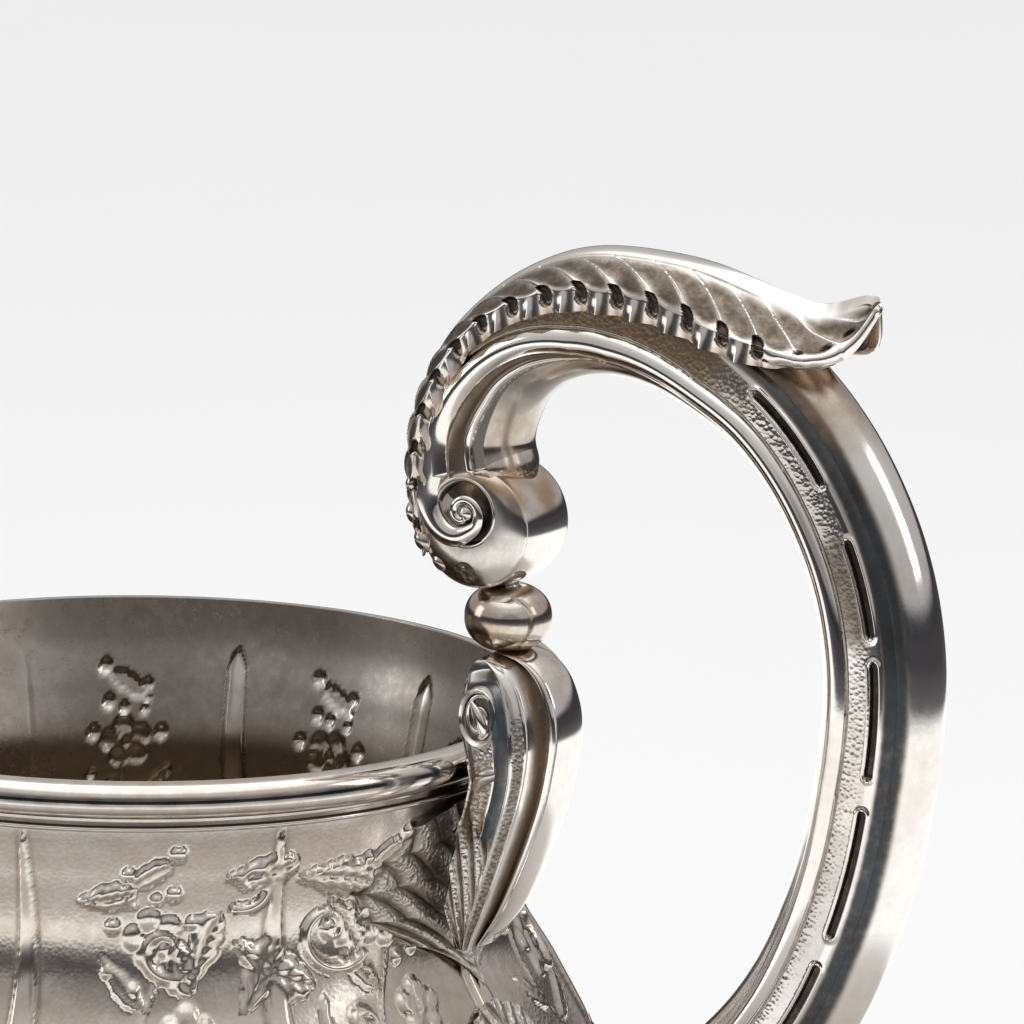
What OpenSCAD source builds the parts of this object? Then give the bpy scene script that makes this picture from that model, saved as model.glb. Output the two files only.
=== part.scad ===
// Water pitcher of sheet and cast silver: a raised vessel on a spreading foot, with a hollow
// C-scroll handle that stands on a scroll bracket at the rim and on a scroll roll at the belly.
// The origin is the centre of the foot's underside. +X points to the handle, -X to the spout.

/* [Vessel] */
// Height of the rim above the table
rim_height = 185; // [183:1:187]
// Outer radius of the wall at the rim
mouth_radius = 62.2; // [61.2:0.1:62.8]
// Outer radius of the neck at its narrowest
neck_radius = 58.2; // [57:0.1:59]
// Outer radius of the belly
belly_radius = 80; // [78:0.5:81]
// Height of the widest part of the belly
belly_height = 98; // [96:0.5:100]
// Thickness of the vessel's wall
wall = 1.2; // [1:0.1:1.6]

/* [Rim and spout] */
// How far the mouth wire stands out from the wall
mouth_wire_out = 2.8; // [2.2:0.1:3.2]
// Height of the mouth wire
mouth_wire_height = 5.3; // [4.5:0.1:6]
// Gap between the mouth wire and the bead wire under it
bead_wire_gap = 0.9; // [0.5:0.1:1.5]
// Height of the bead wire
bead_wire_height = 1.2; // [0.8:0.1:1.6]
// How far the spout's centre lies from the pitcher's axis
spout_centre = 56; // [52:1:58]
// Outer radius of the spout at its lip
spout_radius = 30; // [28:0.5:32]

/* [Foot] */
// Height of the joint between vessel and foot
stem_height = 33; // [31:1:35]
// Radius of the vessel at that joint
stem_radius = 41; // [39:0.5:42]
// Outer radius of the wire that the foot stands on
foot_radius = 59; // [57:0.5:61]
// Height of the foot wire
foot_wire_height = 5; // [4:0.5:6]

/* [Handle] */
// Half of the handle's width, side to side
handle_half_width = 8.5; // [8:0.1:9]
// Width of the handle's flat side, from the edge at the finger gap to the outer ridge
side_depth = 10.5; // [10:0.1:11]
// Rise of the rounded face next to the finger gap
inner_crown = 3.3; // [2.5:0.1:3.6]
// Rise of the rounded outer face
outer_crown = 4.5; // [4:0.1:5]
// Wall thickness of the two handle shells
handle_wall = 1.3; // [1.1:0.1:1.5]
// Depth of the sunk panel on the handle's side
panel_depth = 0.9; // [0.6:0.1:1]
// Thickness of the leaf on the handle
leaf_thickness = 1.6; // [1.2:0.1:2]
// How far the leaf's tip stands off the handle
leaf_lift = 11.3; // [9:0.1:12]

/* [Handle mounts] */
// Radius of the scroll rolls at the handle's ends
knop_radius = 9.5; // [9:0.1:9.8]
// Half of the width of a roll's smooth outer face
knop_half_width = 6; // [5.5:0.1:6.5]
// Radius of the round volutes on the rolls
volute_radius = 6.2; // [5.5:0.1:6.5]
// Half of the width of the rim scroll
rim_scroll_half_width = 5.5; // [5:0.1:6]
// Radius of the bead
bead_radius = 6.6; // [6.2:0.1:6.8]
// Height of the bead
bead_height = 10; // [9.8:0.1:10.2]
// Radius of the dowels
dowel_radius = 1.5; // [1.2:0.1:1.8]

/* [Hidden] */
$fn = 96;

polished = [0.80, 0.78, 0.75];
toned = [0.66, 0.62, 0.57];
solder_grey = [0.55, 0.53, 0.50];

// Outer line of the vessel, radius and height, from the foot joint to the rim
vessel_points = [
    [stem_radius, stem_height],
    [stem_radius + 9, stem_height + 9],
    [belly_radius - 9, belly_height - 28],
    [belly_radius - 2.5, belly_height - 14],
    [belly_radius, belly_height],
    [belly_radius - 1.5, belly_height + 14],
    [belly_radius - 6.5, belly_height + 28],
    [neck_radius + 8, belly_height + 42],
    [neck_radius + 2, belly_height + 52],
    [neck_radius, rim_height - 25],
    [mouth_radius - 2.4, rim_height - 15],
    [mouth_radius - 0.6, rim_height - 7],
    [mouth_radius, rim_height]];
vessel_steps = 3;

// Outer line of the foot, from the joint down to the foot wire
foot_points = [
    [stem_radius - 3, stem_height - 0.1],
    [stem_radius - 3.5, stem_height - 3],
    [stem_radius - 4, stem_height - 6],
    [stem_radius - 1, stem_height - 13],
    [stem_radius + 6, stem_height - 19],
    [foot_radius - 6, stem_height - 24],
    [foot_radius - 3.5, foot_wire_height]];
foot_steps = 4;
foot_wire_width = 7;
collar_height = 4;
collar_out = 1.6;

// Edge of the handle's side at the finger gap, in the plane of the handle. The points are
// measured from the outside of the rim.
handle_root = [65, 185];
handle_points = [
    [1.4, 43.2], [0.8, 46.5], [2, 51], [4.5, 55.5], [9, 59], [15, 61], [21, 61.3], [27.5, 60],
    [34.5, 57], [42, 52.5], [48.3, 46], [53.3, 38], [56.5, 30], [58.2, 21.5], [58.5, 13],
    [57.7, 4], [56, -6.5], [53, -17], [48.5, -27.5], [42.5, -36.5], [35, -44], [26.5, -49]];
handle_steps = 2;

// Rings of the handle between which the leaf lies: its root, where it lifts off, and its tip
leaf_root_ring = 1;
leaf_lift_ring = 14;
leaf_tip_ring = 19;
leaf_steps = 3;
leaf_half_width = 7.7;
leaf_tip_half_width = 9.5;
leaf_gap = 0.1;

// Centre of the bead and of the dowel under the handle, and the outline of the rim scroll
bead_x = 66.4;
bead_z = 204.5;
rim_scroll_face = [
    [70, 199.5], [73, 198.6], [75.6, 196], [77.3, 192], [77.9, 188], [77.6, 184], [76.2, 177],
    [73, 168], [69, 159.5], [64, 153]];
rim_scroll_back = [[56, 153], [56, 184], [63.6, 184], [63.6, 193], [64.6, 197.5], [66, 199.5]];
rim_volute = [67.5, 191];
rim_volute_radius = 4.6;
cheek_scale = 0.86;
cheek_half_width = 7.2;
cheek_centre = [66, 180];
// The bead's round side, as a share of its height
bead_round = 0.62;

// The spout's cone: height and radius of its foot, a length larger than the spout, and how far
// past the cone's axis the wall is pierced
spout_foot_z = 118;
spout_foot_radius = 12;
spout_reach = 50;
pierced_inside = 15;

// Leaf plates, and how the knops stand at the handle's ends
plate_thickness = 1.5;
neck_leaf_span = [145, 176];
lower_leaf_span = [104, 143];
neck_leaf_half_width = 26;
lower_leaf_half_width = 16;
// Where the lower knop's stem and the lower dowel start, and the dowel's length
lower_stem_x = 62;
lower_dowel_x = 70;
lower_dowel_length = 12;
knop_ahead = 9.4;
knop_outward = 4.85;
cone_half_width = 7.6;
volute_half_width = 8.7;
volute_ahead = -2.8;
volute_outward = 1;
groove_depth = 1;
clearance = 0.05;
small = 0.02;

function unit(v) = v / norm(v);
function spline_point(p, i, t) =
    let (a = p[max(i - 1, 0)], b = p[i], c = p[i + 1], d = p[min(i + 2, len(p) - 1)])
    0.5 * (2 * b + t * (c - a) + t * t * (2 * a - 5 * b + 4 * c - d)
        + t * t * t * (3 * b - a - 3 * c + d));
function spline(p, steps) = [
    for (i = [0 : len(p) - 2]) for (k = [0 : steps - 1]) spline_point(p, i, k / steps),
    p[len(p) - 1]];
function tangent(p, i) = unit(p[min(i + 1, len(p) - 1)] - p[max(i - 1, 0)]);
function left_of(v) = [-v[1], v[0]];
// The line p moved sideways by distance, to the left of its direction
function beside(p, distance) = [for (i = [0 : len(p) - 1]) p[i] + distance * left_of(tangent(p, i))];
function reversed(p) = [for (i = [len(p) - 1 : -1 : 0]) p[i]];
// Points of a crowned face: an arc of the given rise over half of the face's width
function crown(rise, half, steps) =
    let (radius = (half * half + rise * rise) / (2 * rise), sweep = asin(half / radius))
    [for (k = [0 : steps])
        [rise - radius * (1 - cos(sweep * k / steps)), -radius * sin(sweep * k / steps)]];

vessel_line = spline(vessel_points, vessel_steps);
foot_line = spline(foot_points, foot_steps);
handle_line = spline([for (p = handle_points) p + handle_root], handle_steps);
function handle_tangent(i) = tangent(handle_line, i);
// The handle runs clockwise, so its outside lies on the left of its direction
function handle_out(i) = left_of(handle_tangent(i));

// One closed mesh through rings of equal length, with flat ends
module loft(rings) {
    n = len(rings[0]);
    last = len(rings) - 1;
    polyhedron(
        points = [for (ring = rings) for (p = ring) p],
        faces = concat(
            [[for (k = [0 : n - 1]) k]],
            [for (i = [0 : last - 1]) for (k = [0 : n - 1])
                [i * n + k, (i + 1) * n + k, (i + 1) * n + (k + 1) % n, i * n + (k + 1) % n]],
            [[for (k = [n - 1 : -1 : 0]) last * n + k]]),
        convexity = 10);
}

// A drawing in the plane of the handle, given thickness on both sides of it
module across(half_width) {
    rotate([90, 0, 0]) linear_extrude(2 * half_width, center = true) children();
}

// ---- vessel ----

// The vessel as a solid, grown outwards by extra
module vessel_solid(extra) {
    line = beside(vessel_line, -extra);
    rotate_extrude() polygon(concat([[0, line[0][1]]], line, [[0, line[len(line) - 1][1]]]));
}

module spout_cone(inset) {
    translate([-spout_centre, 0, spout_foot_z])
        cylinder(r1 = spout_foot_radius - inset, r2 = spout_radius - inset,
            h = rim_height - spout_foot_z);
}

module body_shell() {
    inner = beside(vessel_line, wall);
    color(toned) difference() {
        rotate_extrude() polygon(concat(
            [[0, stem_height]],
            vessel_line,
            reversed([for (i = [1 : len(inner) - 1]) [inner[i][0], min(inner[i][1], rim_height)]]),
            [[0, stem_height + wall]]));
        intersection() {
            spout_cone(wall);
            translate([-spout_centre - spout_reach, -spout_reach, 0])
                cube([spout_reach + pierced_inside, 2 * spout_reach, rim_height + 1]);
        }
    }
}

module spout() {
    color(toned) difference() {
        spout_cone(0);
        spout_cone(wall);
        vessel_solid(0);
    }
}

// A wire with a flat back and a round front, bent to a ring
module half_round(inner_radius, out, height, top) {
    flat = out - height / 2;
    translate([0, 0, top - height]) rotate_extrude() {
        translate([inner_radius, 0]) square([flat, height]);
        intersection() {
            translate([inner_radius + flat, height / 2]) circle(height / 2);
            translate([inner_radius + flat, 0]) square([height, height]);
        }
    }
}

module mouth_ring() {
    half_round(mouth_radius, mouth_wire_out, mouth_wire_height, rim_height);
}

module bead_ring() {
    half_round(mouth_radius - 0.6, 0.6 + bead_wire_height / 2, bead_wire_height,
        rim_height - mouth_wire_height - bead_wire_gap);
}

module spout_lip_space() {
    translate([-spout_centre, 0, 0]) cylinder(r = spout_radius + mouth_wire_out, h = rim_height + 1);
}

module mouth_wire() {
    color(polished) difference() {
        mouth_ring();
        vessel_solid(0);
        spout_lip_space();
    }
}

module spout_wire() {
    color(polished) difference() {
        translate([-spout_centre, 0, 0])
            half_round(spout_radius, mouth_wire_out, mouth_wire_height, rim_height);
        spout_cone(0);
        vessel_solid(0);
    }
}

module bead_wire() {
    color(polished) difference() {
        bead_ring();
        vessel_solid(0);
        spout_lip_space();
    }
}

// ---- foot ----

module foot_dome() {
    color(toned) rotate_extrude()
        polygon(concat(foot_line, reversed(beside(foot_line, -wall))));
}

module foot_collar() {
    color(polished) difference() {
        half_round(stem_radius - 4, 4 + collar_out, collar_height, stem_height + collar_height / 2);
        vessel_solid(0);
        cylinder(r = stem_radius - 3, h = stem_height);
    }
}

module foot_wire() {
    inner_radius = foot_radius - foot_wire_width;
    color(polished) rotate_extrude() union() {
        translate([inner_radius, 0]) square([foot_wire_width - foot_wire_height / 2, foot_wire_height]);
        intersection() {
            translate([foot_radius - foot_wire_height / 2, foot_wire_height / 2])
                circle(foot_wire_height / 2);
            translate([inner_radius, 0]) square([foot_wire_width, foot_wire_height]);
        }
    }
}

// ---- handle ----

// Near half of the handle's section: outward distance from the finger-gap edge, and side
function shell_section() =
    let (w = handle_half_width, d = side_depth, t = handle_wall, f = w - 0.8,
        c = w - panel_depth - t)
    concat(
        [for (p = crown(inner_crown, f, 3)) [-p[0], p[1]]],
        [[0.5, -w], [2.6, -w], [3.1, -w + panel_depth], [d - 1.7, -w + panel_depth],
            [d - 1.1, -w], [d - 0.3, -w]],
        reversed([for (p = crown(outer_crown, f, 4)) [d + p[0], p[1]]]),
        [for (p = crown(outer_crown - t, c, 3)) [d + p[0] - 0.3, p[1]]],
        reversed([for (p = crown(inner_crown - t, c, 2)) [-p[0] + 0.5, p[1]]]));

function handle_point(i, s) =
    let (p = handle_line[i] + s[0] * handle_out(i)) [p[0], s[1], p[1]];

module handle_half() {
    section = shell_section();
    loft([for (i = [0 : len(handle_line) - 1]) [for (s = section) handle_point(i, s)]]);
}

module handle_shell_near() {
    color(polished) handle_half();
}

module handle_shell_far() {
    color(polished) mirror([0, 1, 0]) handle_half();
}

// The leaf's place along the handle: whole numbers are rings of the handle
function leaf_places() =
    [for (i = [leaf_root_ring * leaf_steps : leaf_tip_ring * leaf_steps]) i / leaf_steps];
function leaf_lift_at(place) =
    let (u = max(0, (place - leaf_lift_ring) / (leaf_tip_ring - leaf_lift_ring)))
    leaf_lift * pow(u, 1.6);
function leaf_half_at(place) =
    let (u = max(0, (place - leaf_lift_ring) / (leaf_tip_ring - leaf_lift_ring)),
        root = min(1, (place - leaf_root_ring + 0.4) / 2),
        flare = leaf_half_width + (leaf_tip_half_width - leaf_half_width) * u)
    flare * sqrt(root) * (u < 0.6 ? 1 : sqrt(1 - pow((u - 0.6) / 0.42, 2)));
function leaf_ring(place) =
    let (i = min(floor(place), len(handle_line) - 2), t = place - i,
        edge = handle_line[i] * (1 - t) + handle_line[i + 1] * t,
        out = unit(handle_out(i) * (1 - t) + handle_out(i + 1) * t),
        half = leaf_half_at(place),
        radius = (pow(leaf_half_width, 2) + pow(outer_crown, 2)) / (2 * outer_crown),
        base = side_depth + outer_crown + leaf_gap + leaf_lift_at(place),
        side = [for (k = [-4 : 4]) half * k / 4],
        drop = [for (y = side) radius - sqrt(radius * radius - min(y * y, 0.97 * radius * radius))])
    [for (k = [0 : 8]) let (p = edge + out * (base - drop[k])) [p[0], side[k], p[1]],
        for (k = [8 : -1 : 0]) let (p = edge + out * (base - drop[k] + leaf_thickness))
            [p[0], side[k], p[1]]];

module thumb_leaf() {
    color(polished) loft([for (place = leaf_places()) leaf_ring(place)]);
}

// ---- knops at the handle's ends ----

function knop_centre(root, ahead, out) = root + knop_ahead * ahead + knop_outward * out;

// A scroll roll against the end of the handle. ahead points away from the handle, and out
// points to the handle's outside.
module scroll_roll(root, ahead, out) {
    centre = knop_centre(root, ahead, out);
    volute = centre + volute_outward * out + volute_ahead * ahead;
    seat = [root - 0.5 * inner_crown * out, root + (side_depth + 0.3 * outer_crown) * out, centre];
    step = small * ahead;
    translate([centre[0], 0, centre[1]]) rotate([90, 0, 0])
        cylinder(r = knop_radius, h = 2 * knop_half_width, center = true);
    across(cone_half_width - 0.4) polygon([for (p = seat) p + step]);
    for (side = [-1, 1]) {
        translate([centre[0], side * knop_half_width, centre[1]]) rotate([-90 * side, 0, 0])
            cylinder(r1 = knop_radius, r2 = volute_radius, h = cone_half_width - knop_half_width);
        translate([volute[0], side * knop_half_width, volute[1]]) rotate([-90 * side, 0, 0])
            difference() {
                cylinder(r = volute_radius, h = volute_half_width - knop_half_width);
                translate([0, 0, volute_half_width - knop_half_width - groove_depth]) difference() {
                    cylinder(r = 0.75 * volute_radius, h = 2 * groove_depth);
                    cylinder(r = 0.4 * volute_radius, h = 2 * groove_depth);
                }
            }
    }
}

module dowel_space(x, z_low, z_high) {
    translate([x, 0, z_low]) cylinder(r = dowel_radius + clearance, h = z_high - z_low);
}

module upper_knop() {
    color(polished) difference() {
        scroll_roll(handle_line[0], -handle_tangent(0), handle_out(0));
        translate([bead_x - 20, -20, bead_z + bead_height / 2 - 20]) cube([40, 40, 20]);
        dowel_space(bead_x, bead_z, bead_z + bead_height / 2 + 5);
    }
}

module handle_bead() {
    color(polished) translate([bead_x, 0, bead_z]) difference() {
        rotate_extrude() intersection() {
            translate([bead_radius - bead_height * bead_round, 0]) circle(bead_height * bead_round);
            translate([0, -bead_height / 2]) square([bead_radius, bead_height]);
        }
        translate([0, 0, -bead_height]) cylinder(r = dowel_radius + clearance, h = 2 * bead_height);
    }
}

module upper_dowel() {
    color(solder_grey) translate([bead_x, 0, bead_z - bead_height / 2 - 4.5])
        cylinder(r = dowel_radius, h = bead_height + 9);
}

module rim_scroll() {
    outline = concat(spline(rim_scroll_face, 3), rim_scroll_back);
    color(polished) difference() {
        union() {
            across(rim_scroll_half_width) polygon(outline);
            across(cheek_half_width)
                polygon([for (p = outline) cheek_centre + cheek_scale * (p - cheek_centre)]);
            translate([rim_volute[0], 0, rim_volute[1]]) rotate([90, 0, 0])
                cylinder(r = rim_volute_radius, h = 2 * handle_half_width, center = true);
        }
        vessel_solid(plate_thickness);
        mouth_ring();
        dowel_space(bead_x, bead_z - bead_height / 2 - 5, bead_z);
    }
}

// ---- leaf plates on the vessel ----

// Strip of even thickness on the outside of the vessel, cut to a leaf shape
module leaf_plate(span, half_width) {
    low = span[0];
    high = span[1];
    intersection() {
        difference() {
            vessel_solid(plate_thickness);
            vessel_solid(0);
        }
        rotate([90, 0, 90]) linear_extrude(120)
            polygon(spline([[0, low], [-0.55 * half_width, low + 6], [-half_width, low + 14],
                [-0.8 * half_width, high - 10], [-0.35 * half_width, high], [0.35 * half_width, high],
                [0.8 * half_width, high - 10], [half_width, low + 14], [0.55 * half_width, low + 6],
                [0, low]], 2));
    }
}

module neck_leaf() {
    color(toned) leaf_plate(neck_leaf_span, neck_leaf_half_width);
}

lower_ring = len(handle_line) - 1;
lower_centre = knop_centre(handle_line[lower_ring], handle_tangent(lower_ring),
    handle_out(lower_ring));

module lower_dowel_space(extra) {
    translate([lower_dowel_x, 0, lower_centre[1]]) rotate([0, 90, 0])
        cylinder(r = dowel_radius + extra, h = lower_dowel_length);
}

module lower_knop() {
    color(polished) difference() {
        union() {
            scroll_roll(handle_line[lower_ring], handle_tangent(lower_ring), handle_out(lower_ring));
            translate([lower_stem_x, -knop_half_width, lower_centre[1] - knop_half_width])
                cube([lower_centre[0] - lower_stem_x, 2 * knop_half_width, 2 * knop_half_width]);
        }
        vessel_solid(plate_thickness);
        lower_dowel_space(clearance);
    }
}

module lower_leaf() {
    color(toned) difference() {
        leaf_plate(lower_leaf_span, lower_leaf_half_width);
        lower_dowel_space(clearance);
    }
}

module lower_dowel() {
    color(solder_grey) difference() {
        lower_dowel_space(0);
        vessel_solid(0);
    }
}

body_shell();
spout();
mouth_wire();
spout_wire();
bead_wire();
foot_collar();
foot_dome();
foot_wire();
handle_shell_near();
handle_shell_far();
thumb_leaf();
upper_knop();
handle_bead();
upper_dowel();
rim_scroll();
neck_leaf();
lower_knop();
lower_leaf();
lower_dowel();
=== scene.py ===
import math
import bmesh
import bpy
import numpy as np
from mathutils import Matrix, Vector


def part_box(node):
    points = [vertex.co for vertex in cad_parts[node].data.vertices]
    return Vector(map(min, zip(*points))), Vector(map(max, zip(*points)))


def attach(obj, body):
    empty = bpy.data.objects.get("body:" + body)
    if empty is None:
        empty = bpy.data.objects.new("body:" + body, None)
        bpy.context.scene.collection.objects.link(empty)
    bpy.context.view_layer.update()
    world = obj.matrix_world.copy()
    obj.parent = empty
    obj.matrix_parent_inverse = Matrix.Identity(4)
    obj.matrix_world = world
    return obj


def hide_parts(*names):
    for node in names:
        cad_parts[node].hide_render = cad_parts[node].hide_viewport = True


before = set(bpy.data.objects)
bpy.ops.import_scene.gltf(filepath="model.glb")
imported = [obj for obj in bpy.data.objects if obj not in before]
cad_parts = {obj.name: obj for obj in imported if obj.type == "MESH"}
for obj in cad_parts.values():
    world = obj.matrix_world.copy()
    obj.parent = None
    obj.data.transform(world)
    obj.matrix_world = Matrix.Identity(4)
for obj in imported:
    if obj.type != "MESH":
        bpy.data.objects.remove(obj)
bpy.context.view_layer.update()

# A silver water pitcher. Lengths are in millimetres until a mesh is made. The handle lies in
# the plane Y = 0, on the +X side, and the spout on the -X side.
MM = 0.001


def node_box(node):
    """A CAD node's lowest and highest corner, in millimetres."""
    low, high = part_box(node)
    return np.array(low) / MM, np.array(high) / MM


RIM_Z = node_box("body_shell")[1][2]
STEM_Z = node_box("body_shell")[0][2]
BEAD_LOW, BEAD_HIGH = node_box("handle_bead")
FOOT_RADIUS = node_box("foot_wire")[1][0]
WALL = 1.2
# The spout's lip is a circle: its middle's distance from the pitcher's axis, and its radius
SPOUT_CENTRE = 56.0
SPOUT_RADIUS = 30.0
# The handle's section: half of its width, the depth of its flat side, and how far its inner
# face and its back bulge beyond that
HALF_WIDTH = 8.5
SIDE_DEPTH = 10.5
INNER_CROWN = 3.3
OUTER_CROWN = 4.4
KNOP_RADIUS = 9.5
# Number of chased panels round the vessel, and the radii that their ornament is laid out on
PANELS = 10
PANEL_DEGREES = 36
NECK_RADIUS = 59.0
BELLY_RADIUS = 79


# ---- curves and meshes ----

def smooth(low, high, x):
    """0 below low, 1 above high, and an even rise between them."""
    t = np.clip((x - low) / (high - low), 0, 1)
    return t * t * (3 - 2 * t)


def spline(points, steps):
    """A smooth line through points, with that many steps between two of them."""
    p = np.asarray(points, float)
    ends = np.vstack([p[:1], p, p[-1:]])
    t = np.linspace(0, 1, steps, endpoint=False)[:, None]
    rows = []
    for i in range(len(p) - 1):
        a, b, c, d = ends[i:i + 4]
        rows.append(0.5 * (2 * b + t * (c - a) + t * t * (2 * a - 5 * b + 4 * c - d)
                           + t ** 3 * (3 * b - a - 3 * c + d)))
    return np.vstack(rows + [p[-1:]])


def run_of(line):
    """Distance along a line, at each of its points."""
    return np.concatenate([[0], np.cumsum(np.linalg.norm(np.diff(line, axis=0), axis=1))])


def even(line, count):
    """The same line with count points at even distances."""
    run = run_of(line)
    at = np.linspace(0, run[-1], count)
    return np.stack([np.interp(at, run, line[:, k]) for k in range(line.shape[1])], -1)


def unit(v):
    return v / np.linalg.norm(v, axis=-1, keepdims=True)


def directions(line):
    return unit(np.gradient(line, axis=0))


def left_of(v):
    return np.stack([-v[..., 1], v[..., 0]], -1)


def in_space(points, y):
    """Points of the middle plane, moved sideways to y."""
    return np.stack([points[..., 0], np.broadcast_to(y, points.shape[:-1]), points[..., 1]], -1)


def round_turn(count):
    """Angles at even steps round a full turn."""
    return np.linspace(0, 2 * np.pi, count, endpoint=False)


def side_by_side(*parts):
    """Arrays joined along their columns. A part of one row is repeated to fit the others."""
    rows = max(len(part) for part in parts)
    return np.concatenate([np.broadcast_to(part, (rows,) + part.shape[1:]) for part in parts],
                          axis=1)


class Shape:
    """The grids that make up one piece, with a few numbers for each point.

    The first layer darkens a point: with tarnish in a recess, and in some places with painted
    shade, as under the thumb leaf, on the handle's inner face, on the knops' curls and down the
    inside of the vessel. stipple roughens matted ground, patina tints with blue, and amber is the
    golden brown tarnish round the joints, and painted brown shade low inside the vessel."""

    LAYERS = ("hollow", "stipple", "patina", "amber")

    def __init__(self):
        self.points, self.quads, self.count = [], [], 0
        self.layers = {name: [] for name in self.LAYERS}

    def grid(self, points, around=False, across=False, **layers):
        """Adds a grid of rows and columns. around joins the last row to the first, and
        across the last column to the first."""
        rows, columns = points.shape[:2]
        index = self.count + np.arange(rows * columns).reshape(rows, columns)
        if around:
            index = np.vstack([index, index[:1]])
        if across:
            index = np.hstack([index, index[:, :1]])
        quads = np.stack([index[:-1, :-1], index[1:, :-1], index[1:, 1:], index[:-1, 1:]], -1)
        self.points.append(points.reshape(-1, 3))
        self.quads.append(quads.reshape(-1, 4))
        for name in self.LAYERS:
            value = np.broadcast_to(layers.get(name, 0.0), (rows, columns))
            self.layers[name].append(np.clip(value, 0, 1).reshape(-1))
        self.count += rows * columns

    def cap(self, ring):
        """Closes a ring of points with a fan, as a grid that runs to its middle."""
        middle = np.broadcast_to(ring.mean(axis=0), ring.shape)
        self.grid(np.stack([ring, middle]), across=True)

    def rod(self, points, **layers):
        """Adds a grid whose columns close on themselves, with a cap on its first and last row."""
        self.grid(points, across=True, **layers)
        self.cap(points[0])
        self.cap(points[-1])

    def make(self, name, material, slot, *nodes):
        """Makes the piece, which stands for the named CAD nodes, or else for its namesake."""
        points = np.vstack(self.points) * MM
        quads = np.vstack(self.quads)
        mesh = bpy.data.meshes.new(name)
        mesh.vertices.add(len(points))
        mesh.vertices.foreach_set("co", points.astype(np.float32).ravel())
        mesh.loops.add(quads.size)
        mesh.loops.foreach_set("vertex_index", quads.astype(np.int32).ravel())
        mesh.polygons.add(len(quads))
        mesh.polygons.foreach_set("loop_start", np.arange(0, quads.size, 4, dtype=np.int32))
        for layer, values in self.layers.items():
            data = mesh.attributes.new(layer, "FLOAT", "POINT").data
            data.foreach_set("value", np.concatenate(values).astype(np.float32))
        mesh.update(calc_edges=True)
        shape = bmesh.new()
        shape.from_mesh(mesh)
        bmesh.ops.remove_doubles(shape, verts=shape.verts, dist=2e-6)
        bmesh.ops.dissolve_degenerate(shape, edges=shape.edges, dist=1e-7)
        bmesh.ops.recalc_face_normals(shape, faces=shape.faces)
        shape.to_mesh(mesh)
        shape.free()
        mesh.polygons.foreach_set("use_smooth", np.ones(len(mesh.polygons), bool))
        mesh.set_sharp_from_angle(angle=math.radians(55))
        mesh.materials.append(material)
        piece = bpy.data.objects.new(name, mesh)
        bpy.context.collection.objects.link(piece)
        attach(piece, "root")
        nodes = nodes or (name,)
        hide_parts(*nodes)


def tube(shape, line, radii, sides=14, flat=1.0, **layers):
    """A round rod along a line of points in space. flat squeezes it along Y."""
    along = directions(line)
    side = np.zeros_like(along)
    side[:, 1] = 1
    side = unit(side - (side * along).sum(-1, keepdims=True) * along)
    up = np.cross(along, side)
    turn = round_turn(sides)[None, :, None]
    radii = np.broadcast_to(radii, (len(line),))[:, None, None]
    ring = side[:, None] * np.cos(turn) * flat + up[:, None] * np.sin(turn)
    shape.rod(line[:, None] + radii * ring, **layers)


# ---- materials ----

class Nodes:
    """Short forms for making a material's nodes."""

    def __init__(self, tree):
        self.tree = tree
        tree.nodes.clear()

    def new(self, kind, inputs=(), **settings):
        node = self.tree.nodes.new("ShaderNode" + kind)
        for key, value in settings.items():
            setattr(node, key, value)
        for key, value in dict(inputs).items():
            self.put(node, key, value)
        return node

    def put(self, node, key, value):
        """Links another node's output to an input, or sets the input to a value."""
        if hasattr(value, "is_output"):
            self.tree.links.new(value, node.inputs[key])
        else:
            node.inputs[key].default_value = value

    def layer(self, name):
        return self.new("Attribute", attribute_name=name).outputs["Fac"]

    def math(self, operation, a, b, clamp=False):
        node = self.new("Math", {0: a, 1: b}, operation=operation, use_clamp=clamp)
        return node.outputs[0]

    def scaled(self, a, factor, offset, clamp=False):
        """a * factor + offset."""
        node = self.new("Math", {0: a, 1: factor, 2: offset}, operation="MULTIPLY_ADD",
                        use_clamp=clamp)
        return node.outputs[0]

    def noise(self, scale, detail, rough, where):
        return self.new("TexNoise", {"Vector": where, "Scale": scale, "Detail": detail,
                                     "Roughness": rough}).outputs["Fac"]

    def ramp(self, factor, *stops):
        node = self.new("ValToRGB", {"Fac": factor})
        items = node.color_ramp.elements
        while len(items) < len(stops):
            items.new(0.5)
        for item, (position, colour) in zip(items, stops):
            item.position = position
            item.color = (*colour, 1.0)
        return node.outputs["Color"]

    def mix(self, factor, a, b, blend="MIX"):
        a, b = (v if hasattr(v, "is_output") else (*v, 1.0) for v in (a, b))
        node = self.new("Mix", data_type="RGBA", blend_type=blend)
        for key, value in ((0, factor), (6, a), (7, b)):
            self.put(node, key, value)
        return node.outputs[2]


SILVER = (0.96, 0.95, 0.935)
WARM = (0.72, 0.645, 0.56)
# Brown, and the near black after it, darken tarnished recesses and also painted shade
BROWN = (0.30, 0.235, 0.18)
DEEP_TARNISH_AND_SHADE = (0.055, 0.045, 0.04)
BLUE = (0.12, 0.165, 0.20)
AMBER = (0.58, 0.40, 0.24)


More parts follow.
